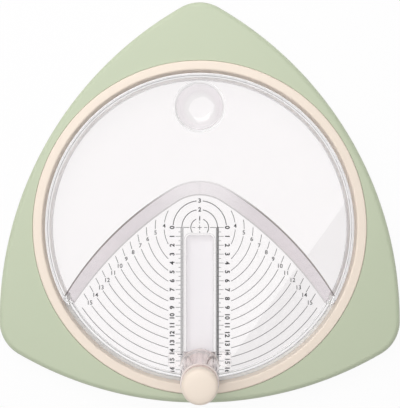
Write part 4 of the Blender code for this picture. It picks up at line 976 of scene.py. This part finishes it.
def edge_share(graph, tilt, place, reach):
    """Where painted shade darkens the moulded edges: the V wall's upper edge, its foot and the
    rails, with a thin dark line where the rim's rounding starts.
    """
    ease, fall, product = graph.ease, graph.fall, graph.product
    x, y, z = place
    rounding = product(ease(tilt, *EDGE_RISE), fall(tilt, *EDGE_FALL))
    arm = ease(graph.calc("ABSOLUTE", x), NOSE_X, ARM_X, NOSE_EDGE_SHADE, ARM_EDGE_SHADE)
    high = ease(z, DISC_TOP - V_TOP_ROUND, DISC_TOP - V_TOP_ROUND / 2)
    inside = fall(reach, DISC_BORE - DISC_ROUND, DISC_BORE)
    clear_of_cup = graph.calc("LESS_THAN", y, AXIS_Y + CUP_R - 2 * CUP_MOUTH)
    upper = product(arm, high, inside)
    low = ease(z, RAIL_TOP, RAIL_TOP + V_TOP_ROUND, LOW_EDGE_SHADE, 0.0)
    moulded = product(graph.calc("ADD", upper, low), rounding, clear_of_cup)
    # A thin painted dark shade line where the rim's rounding starts
    start = DISC_RADIUS - DISC_ROUND
    line = product(
        ease(reach, start - FINE_LINE, start, 0.0, ROUND_SHADE_LINE),
        fall(reach, start + FINE_LINE, start + 2 * FINE_LINE), high)
    return graph.calc("MAXIMUM", moulded, line)


def disc_milk(graph, tilt, place, reach):
    """How milky the disc is: its upright walls, the roundings of its edges, flange and cup lip."""
    ease, fall, product = graph.ease, graph.fall, graph.product
    z = place[2]
    upright = product(ease(tilt, *UPRIGHT_TILT), ease(reach, *RIM_ZONE, UPRIGHT_MILK, RIM_MILK))
    # The rim's rounding turned milky white, a painted highlight that the lamps still light
    start = DISC_RADIUS - DISC_ROUND + FINE_LINE
    rounding = product(
        ease(reach, start, start + ROUND_MILK_RISE, 0.0, ROUND_MILK),
        ease(z, DISC_TOP - DISC_ROUND, DISC_TOP - DISC_ROUND / 2))
    start = DISC_BORE - SECTOR_ROUND
    inner = product(
        ease(reach, start, start + SECTOR_ROUND / 2, 0.0, INNER_ROUND_MILK),
        ease(tilt, *INNER_TILT_RISE), fall(tilt, *INNER_TILT_FALL),
        fall(z, PLATE_TOP + SECTOR_ROUND, FLANGE_TOP))
    start = DISC_BORE - PLATEAU_ROUND
    under = product(
        ease(reach, start, start + UNDER_MILK_RISE, 0.0, INNER_ROUND_MILK),
        fall(reach, DISC_BORE - UNDER_MILK_END, DISC_BORE),
        ease(z, *UNDER_MILK_ZONE), fall(z, PLATEAU_UNDER, PLATEAU_UNDER + UNDER_MILK_TOP),
        ease(tilt, *UNDER_TILT))
    flange = ease(reach, *FLANGE_ZONE, 0.0, FLANGE_MILK)
    from_cup = graph.reach(place, AXIS_Y + CUP_R)
    lip = product(
        ease(from_cup, *CUP_LIP_START, 0.0, CUP_LIP_MILK),
        fall(from_cup, *CUP_LIP_END), ease(z, *CUP_LIP_LEVEL))
    milk = upright
    for share in (rounding, inner, under, flange, lip):
        milk = graph.calc("MAXIMUM", milk, share)
    return milk


def sleeve_milk(graph, place):
    """How milky the sleeve is: its lip, and its wall towards the foot."""
    lip = graph.ease(place[2], LIP_HAZE_FROM, LIP_HAZE_FROM + LIP_HAZE_RISE, 0.0, LIP_MILK)
    foot = graph.product(
        graph.ease(place[2], *FOOT_MILK_ZONE, FOOT_MILK, SLEEVE_MILK),
        graph.fall(graph.reach(place, AXIS_Y - KNOB_R), *FOOT_MILK_END))
    return graph.calc("MAXIMUM", lip, foot)


def wall_colour(graph, place, nose, arm):
    """Painted shade for the sloped faces: light at the V wall's nose, deeper and drifting along its
    arms.
    """
    along = graph.ease(graph.calc("ABSOLUTE", place[0]), 0.0, ARM_X, 0.0, DRIFT_ALONG)
    drift = graph.spread(graph.noise(DRIFT_SCALE), *DRIFT_RANGE)
    return graph.blend(graph.calc("ADD", along, drift), nose, arm)


def clear_plastic(name, flat, nose, arm, upright, edge=None):
    """Clear moulded plastic that lets the lamps through, with painted shade on its sloped faces
    and, on the disc, painted dark shade lines along the edges in its edge colour.
    """
    material, graph, shader = new_material(name)
    shader.inputs["IOR"].default_value = CLEAR_IOR
    shader.inputs["Transmission Weight"].default_value = 1.0
    place, tilt = graph.place(), graph.tilt()
    walls = wall_colour(graph, place, nose, arm)
    # Sloped faces take the wall colours, a painted shade that deepens with their tilt
    colour = graph.blend(graph.ease(tilt, *WALL_TILT), flat, walls)
    if edge:
        reach = graph.reach(place, AXIS_Y)
        # Clearer near the rim, a painted light over the shade seen through the rim wall
        colour = graph.blend(graph.ease(reach, *RIM_ZONE), colour, RIM_CLEAR)
        # The edge colour paints dark shade lines along the moulded edges
        colour = graph.blend(edge_share(graph, tilt, place, reach), colour, edge)
        milk = disc_milk(graph, tilt, place, reach)
    else:
        milk = sleeve_milk(graph, place)
    graph.feed(shader.inputs["Transmission Weight"], graph.calc("SUBTRACT", 1.0, milk))
    graph.feed(shader.inputs["Base Color"], graph.blend(milk, colour, upright))
    haze = graph.spread(graph.noise(HAZE_SCALE, HAZE_DETAIL), *HAZE_ROUGHNESS)
    graph.feed(shader.inputs["Roughness"], haze)
    shadow = graph.add("ShaderNodeLightPath").outputs["Is Shadow Ray"]
    clear = graph.add("ShaderNodeBsdfTransparent", {"Color": SHADOW_TINT})
    graph.show(shadow, shader.outputs["BSDF"], clear.outputs["BSDF"])
    return material


def paint_node(name, material):
    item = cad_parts[name]
    item.data.materials.clear()
    item.data.materials.append(material)


def strip(work, points, width, level):
    """A flat ribbon of ink along a line of points."""
    left, right = [], []
    for index, point in enumerate(points):
        before = Vector(points[max(0, index - 1)])
        after = Vector(points[min(len(points) - 1, index + 1)])
        along = (after - before).normalized()
        across = Vector((-along.y, along.x)) * (width / 2)
        left.append(Vector(point) + across)
        right.append(Vector(point) - across)
    low_left, high_left, low_right, high_right = (
        [work.verts.new((*place, height)) for place in side]
        for side in (left, right) for height in (level, level + INK_HEIGHT))
    for a in range(len(points) - 1):
        b = a + 1
        work.faces.new((high_left[a], high_right[a], high_right[b], high_left[b]))
        work.faces.new((low_left[a], low_left[b], low_right[b], low_right[a]))
        work.faces.new((low_left[a], high_left[a], high_left[b], low_left[b]))
        work.faces.new((low_right[a], low_right[b], high_right[b], high_right[a]))
    for end in (0, -1):
        work.faces.new((low_left[end], low_right[end], high_right[end], high_left[end]))


def arc_points(radius, start_deg, end_deg):
    span = end_deg - start_deg
    count = max(3, int(abs(span) / ARC_STEP_DEG) + 2)
    return [around(radius, start_deg + span * step / (count - 1)) for step in range(count)]


def twin_arcs(work, radius, start_deg, end_deg, width, level):
    """An arc of ink on the right of the disc's middle line, and its mirror image."""
    strip(work, arc_points(radius, start_deg, end_deg), width, level)
    strip(work, arc_points(radius, 180.0 - start_deg, 180.0 - end_deg), width, level)


def meet_angle(radius, line):
    """The angle in degrees at which the right half of a line crosses a circle about the axis."""
    right = [(x, y - AXIS_Y) for x, y in line if x >= 0]
    for (ax, ay), (bx, by) in zip(right, right[1:]):
        near, far = math.hypot(ax, ay), math.hypot(bx, by)
        if near <= radius <= far:
            share = (radius - near) / (far - near)
            return math.degrees(math.atan2(ay + (by - ay) * share, ax + (bx - ax) * share))
    return None


def digits(number, size, weight, place, turn_deg, level):
    """Flat digits with a little weight added, centred on a place, as a mesh."""
    curve = bpy.data.curves.new("digits", "FONT")
    curve.body = str(number)
    curve.size = size
    curve.align_x = curve.align_y = "CENTER"
    curve.offset = size * weight
    curve.extrude = INK_HEIGHT / 2
    curve.resolution_u = DIGIT_STEPS
    mesh = evaluated(link(curve, "digits"))
    turn = Matrix.Rotation(math.radians(turn_deg), 4, "Z")
    mesh.transform(Matrix.Translation((*place, level + INK_HEIGHT / 2)) @ turn)
    return mesh


def gather(meshes):
    work = bmesh.new()
    for mesh in meshes:
        work.from_mesh(mesh)
        bpy.data.meshes.remove(mesh)
    bmesh.ops.remove_doubles(work, verts=work.verts, dist=0.5 * WELD)
    return to_mesh(work)


LABEL_LINE = wall_lines(-LABEL_INSET)[0]


def make_scale_rings(level):
    work = bmesh.new()
    for number, start, room in INNER_RINGS:
        radius = number * UNIT_R
        end = 90.0 - math.degrees(room / radius)
        twin_arcs(work, radius, start, end, BOLD_LINE, level)
    stub_line = wall_lines(-STUB_INSET)[0]
    for number in range(FIRST_OUTER_RING, LAST_RING + 1):
        radius = number * UNIT_R
        inner = -math.degrees(math.acos(ARC_START_X / radius))
        label = meet_angle(radius, LABEL_LINE)
        gap = math.degrees(LABEL_GAP / radius)
        spans = [(inner, label + gap)]
        if number < LAST_RING:
            spans = [(inner, label - gap), (label + gap, meet_angle(radius, stub_line))]
        for start, end in spans:
            twin_arcs(work, radius, start, end, RING_LINE, level)
    return closed_mesh(work)


def make_scale_digits(level):
    meshes = [digits(number, RING_DIGIT, BOLD_WEIGHT, at(-number * UNIT_R), 0.0, level)
              for number in range(1, FIRST_OUTER_RING)]
    for number in range(FIRST_OUTER_RING, LAST_RING):
        angle = meet_angle(number * UNIT_R, LABEL_LINE)
        for side in (angle, 180.0 - angle):
            place = around(number * UNIT_R, side)
            meshes.append(digits(number, RING_DIGIT, DIGIT_WEIGHT, place, 0.0, level))
    for number in range(LAST_RING + 1):
        for side, turn in ((-1, 90.0), (1, -90.0)):
            place = at(number * UNIT_R, side * RULER_LABEL_X)
            meshes.append(digits(number, RULER_DIGIT, BOLD_WEIGHT, place, turn, level))
    return gather(meshes)


def make_rulers(level):
    """The two rulers along the slot and the cross at the disc's axis."""
    work = bmesh.new()
    for side, width in ((-1, RULER_TICK), (1, RULER_BOLD)):
        edge, tick_end = side * RULER_EDGE, side * RULER_TICK_END
        strip(work, [at(0.0, edge), at(SLOT_OUTER, edge)], RULER_TICK, level)
        for count in range(RULER_TICKS):
            r = count * UNIT_R / 10
            strip(work, [at(r, side * (RULER_EDGE + RULER_TICK)), at(r, tick_end)], width, level)
            if count % 5 == 0:
                end = RULER_HALF_END if count % 10 else RULER_UNIT_END
                strip(work, [at(r, tick_end), at(r, side * end)], RULER_TICK, level)
    for start, end in CROSS_ACROSS_MM:
        for side in (-1, 1):
            ends = [at(0.0, side * start * MM), at(0.0, side * end * MM)]
            strip(work, ends, RING_LINE, level)
    strip(work, [at(-CROSS_HALF), at(CROSS_HALF)], RING_LINE, level + INK_HEIGHT)
    for start, end in CROSS_ALONG_MM:
        strip(work, [at(start * MM), at(end * MM)], RING_LINE, level)
    return closed_mesh(work)


def make_index_marks(level):
    work = bmesh.new()
    for side in (-1, 1):
        ends = [at(BLADE_R, side * INDEX_START), at(BLADE_R, side * INDEX_END)]
        strip(work, ends, INDEX_LINE, level)
    return closed_mesh(work)


GREEN = surface("green_satin_plastic", (0.55, 0.61, 0.445), (0.57, 0.63, 0.462), 9.0,
                (0.42, 0.5), PLASTIC_GRAIN, 0.00002)
CREAM = surface("cream_satin_plastic", (0.905, 0.785, 0.67), (0.93, 0.81, 0.695), 12.0,
                (0.34, 0.42), PLASTIC_GRAIN, 0.000015)
STEM = surface("cream_stem_plastic", (0.95, 0.785, 0.73), (0.97, 0.805, 0.75), 40.0,
               (0.35, 0.45), PLASTIC_GRAIN, 0.000015)
deepen_flutes(STEM)
RUBBER = surface("pad_rubber", (0.03, 0.03, 0.032), (0.05, 0.05, 0.052), 60.0,
                 (0.7, 0.85), 3000.0, 0.00004)
STEEL = surface("plain_steel", (0.72, 0.72, 0.74), (0.8, 0.8, 0.82), 300.0,
                (0.22, 0.34), 5000.0, 0.000006, 1.0)
BLADE_STEEL = surface("blade_steel", (0.62, 0.63, 0.65), (0.72, 0.73, 0.75), 500.0,
                      (0.12, 0.22), 9000.0, 0.000004, 1.0)
INK = surface("scale_ink", (0.012, 0.012, 0.014), (0.03, 0.03, 0.034), 900.0,
              (0.5, 0.62), 6000.0, 0.000004)
# The disc's wall colours paint shade on its sloped faces, and its edge colour paints dark shade
# lines along its edges
CLEAR = clear_plastic(
    "clear_disc_plastic", (0.94, 0.92, 0.922), (0.905, 0.87, 0.885), (0.765, 0.71, 0.735),
    upright=(0.955, 0.94, 0.94), edge=(0.12, 0.1, 0.095))
# The sleeve's wall colours paint a faint shade on its sloped faces
CLEAR_SLEEVE = clear_plastic(
    "clear_sleeve_plastic", (0.975, 0.96, 0.96), (0.97, 0.92, 0.92), (0.97, 0.92, 0.92),
    upright=(0.95, 0.84, 0.8))

add_piece(make_body_shell(), "body_shell", "base", GREEN, ["base_shell"])
add_piece(make_ring(), "trim_ring", "base", CREAM, ["retaining_ring"])
add_piece(make_disc(), "clear_disc", "rotor", CLEAR, ["rotor_disc"])
add_piece(make_carriage(), "clear_carriage", "carriage", CLEAR_SLEEVE,
             ["carriage"])
add_piece(make_stem(), "fluted_stem", "plunger", STEM, ["knob_stem"])
add_piece(make_cap(), "round_cap", "plunger", CREAM, ["knob_cap"])

INK_LEVEL = PLATE_TOP + INK_LIFT
add_piece(make_scale_rings(INK_LEVEL), "scale_rings", "rotor", INK)
add_piece(make_scale_digits(INK_LEVEL), "scale_digits", "rotor", INK)
add_piece(make_rulers(INK_LEVEL), "scale_rulers", "rotor", INK)
add_piece(make_index_marks(WING_TOP + INK_LIFT), "index_marks", "carriage", INK)

for number in (1, 2, 3):
    paint_node(f"foot_pad_{number}", RUBBER)
for number in range(1, SCREW_COUNT + 1):
    paint_node(f"ring_screw_{number}", STEEL)
for name in ("keeper_plate", "keeper_screw_1", "keeper_screw_2", "stem_screw", "blade_screw",
             "return_spring"):
    paint_node(name, STEEL)
paint_node("blade", BLADE_STEEL)
paint_node("blade_holder", CREAM)


def make_floor():
    """A pale floor that shows each kind of ray its share of plain white, less under the body, where
    its real shade shows and it is painted darker.
    """
    work = bmesh.new()
    bmesh.ops.create_grid(work, x_segments=1, y_segments=1, size=FLOOR_HALF)
    floor = link(to_mesh(work), "floor")
    floor.location = (0.0, 0.0, FLOOR_LEVEL)
    material, graph, shader = new_material("floor_pale")
    shader.inputs["Base Color"].default_value = (*FLOOR_COLOUR, 1.0)
    shader.inputs["Roughness"].default_value = FLOOR_ROUGHNESS
    reach = graph.reach(graph.place(), AXIS_Y)
    rays = graph.add("ShaderNodeLightPath").outputs
    # Less plain white under the body: the floor's real shade shows there, and the floor is painted
    # darker under it
    open_share = graph.ease(reach, RING_RADIUS, SIDE_REACH, UNDER_WHITE, OPEN_WHITE)
    seen = graph.calc("MAXIMUM", rays["Is Camera Ray"], rays["Is Glossy Ray"])
    total = graph.calc("MAXIMUM", graph.product(seen, open_share),
                       graph.product(rays["Is Transmission Ray"], THROUGH_WHITE))
    white = graph.add("ShaderNodeEmission", {"Strength": 1.0})
    graph.show(total, shader.outputs[0], white.outputs[0])
    floor.data.materials.append(material)


def make_world():
    """A soft studio sky, plain white where the camera sees it."""
    world = bpy.data.worlds.new("studio")
    bpy.context.scene.world = world
    world.use_nodes = True
    graph = Graph(world.node_tree)
    background = graph.nodes["Background"]
    height = graph.split(graph.add("ShaderNodeTexCoord").outputs["Generated"])["Z"]
    graph.feed(background.inputs["Color"], graph.ramp(height, SKY_RAMP, SKY_LOW, SKY_HIGH))
    background.inputs["Strength"].default_value = SKY_STRENGTH
    white = graph.add("ShaderNodeBackground", {"Color": (1.0, 1.0, 1.0)})
    seen = graph.add("ShaderNodeLightPath").outputs["Is Camera Ray"]
    graph.show(seen, background.outputs[0], white.outputs[0], "World Output")


def add_lamps():
    for name, place, target, size, power in LAMPS:
        lamp = bpy.data.lights.new(name, "AREA")
        lamp.size = size
        lamp.energy = power
        item = link(lamp, name)
        item.location = place
        aim = Vector(target) - Vector(place)
        item.rotation_euler = aim.to_track_quat("-Z", "Y").to_euler()


def make_camera():
    """Looks straight down above the disc's axis, with the frame shifted towards the far corner."""
    camera = bpy.data.cameras.new("camera")
    camera.sensor_width = SENSOR_MM
    camera.lens = FOCAL_PIXELS / FRAME_PIXELS * camera.sensor_width
    camera.shift_x = SHIFT_PIXELS[0] / FRAME_PIXELS
    camera.shift_y = SHIFT_PIXELS[1] / FRAME_PIXELS
    camera.clip_start = CLIP_START
    item = link(camera, "camera")
    item.location = (0.0, AXIS_Y, CAMERA_HEIGHT)
    bpy.context.scene.camera = item


bpy.context.scene.view_settings.view_transform = "Standard"
make_floor()
make_world()
add_lamps()
make_camera()
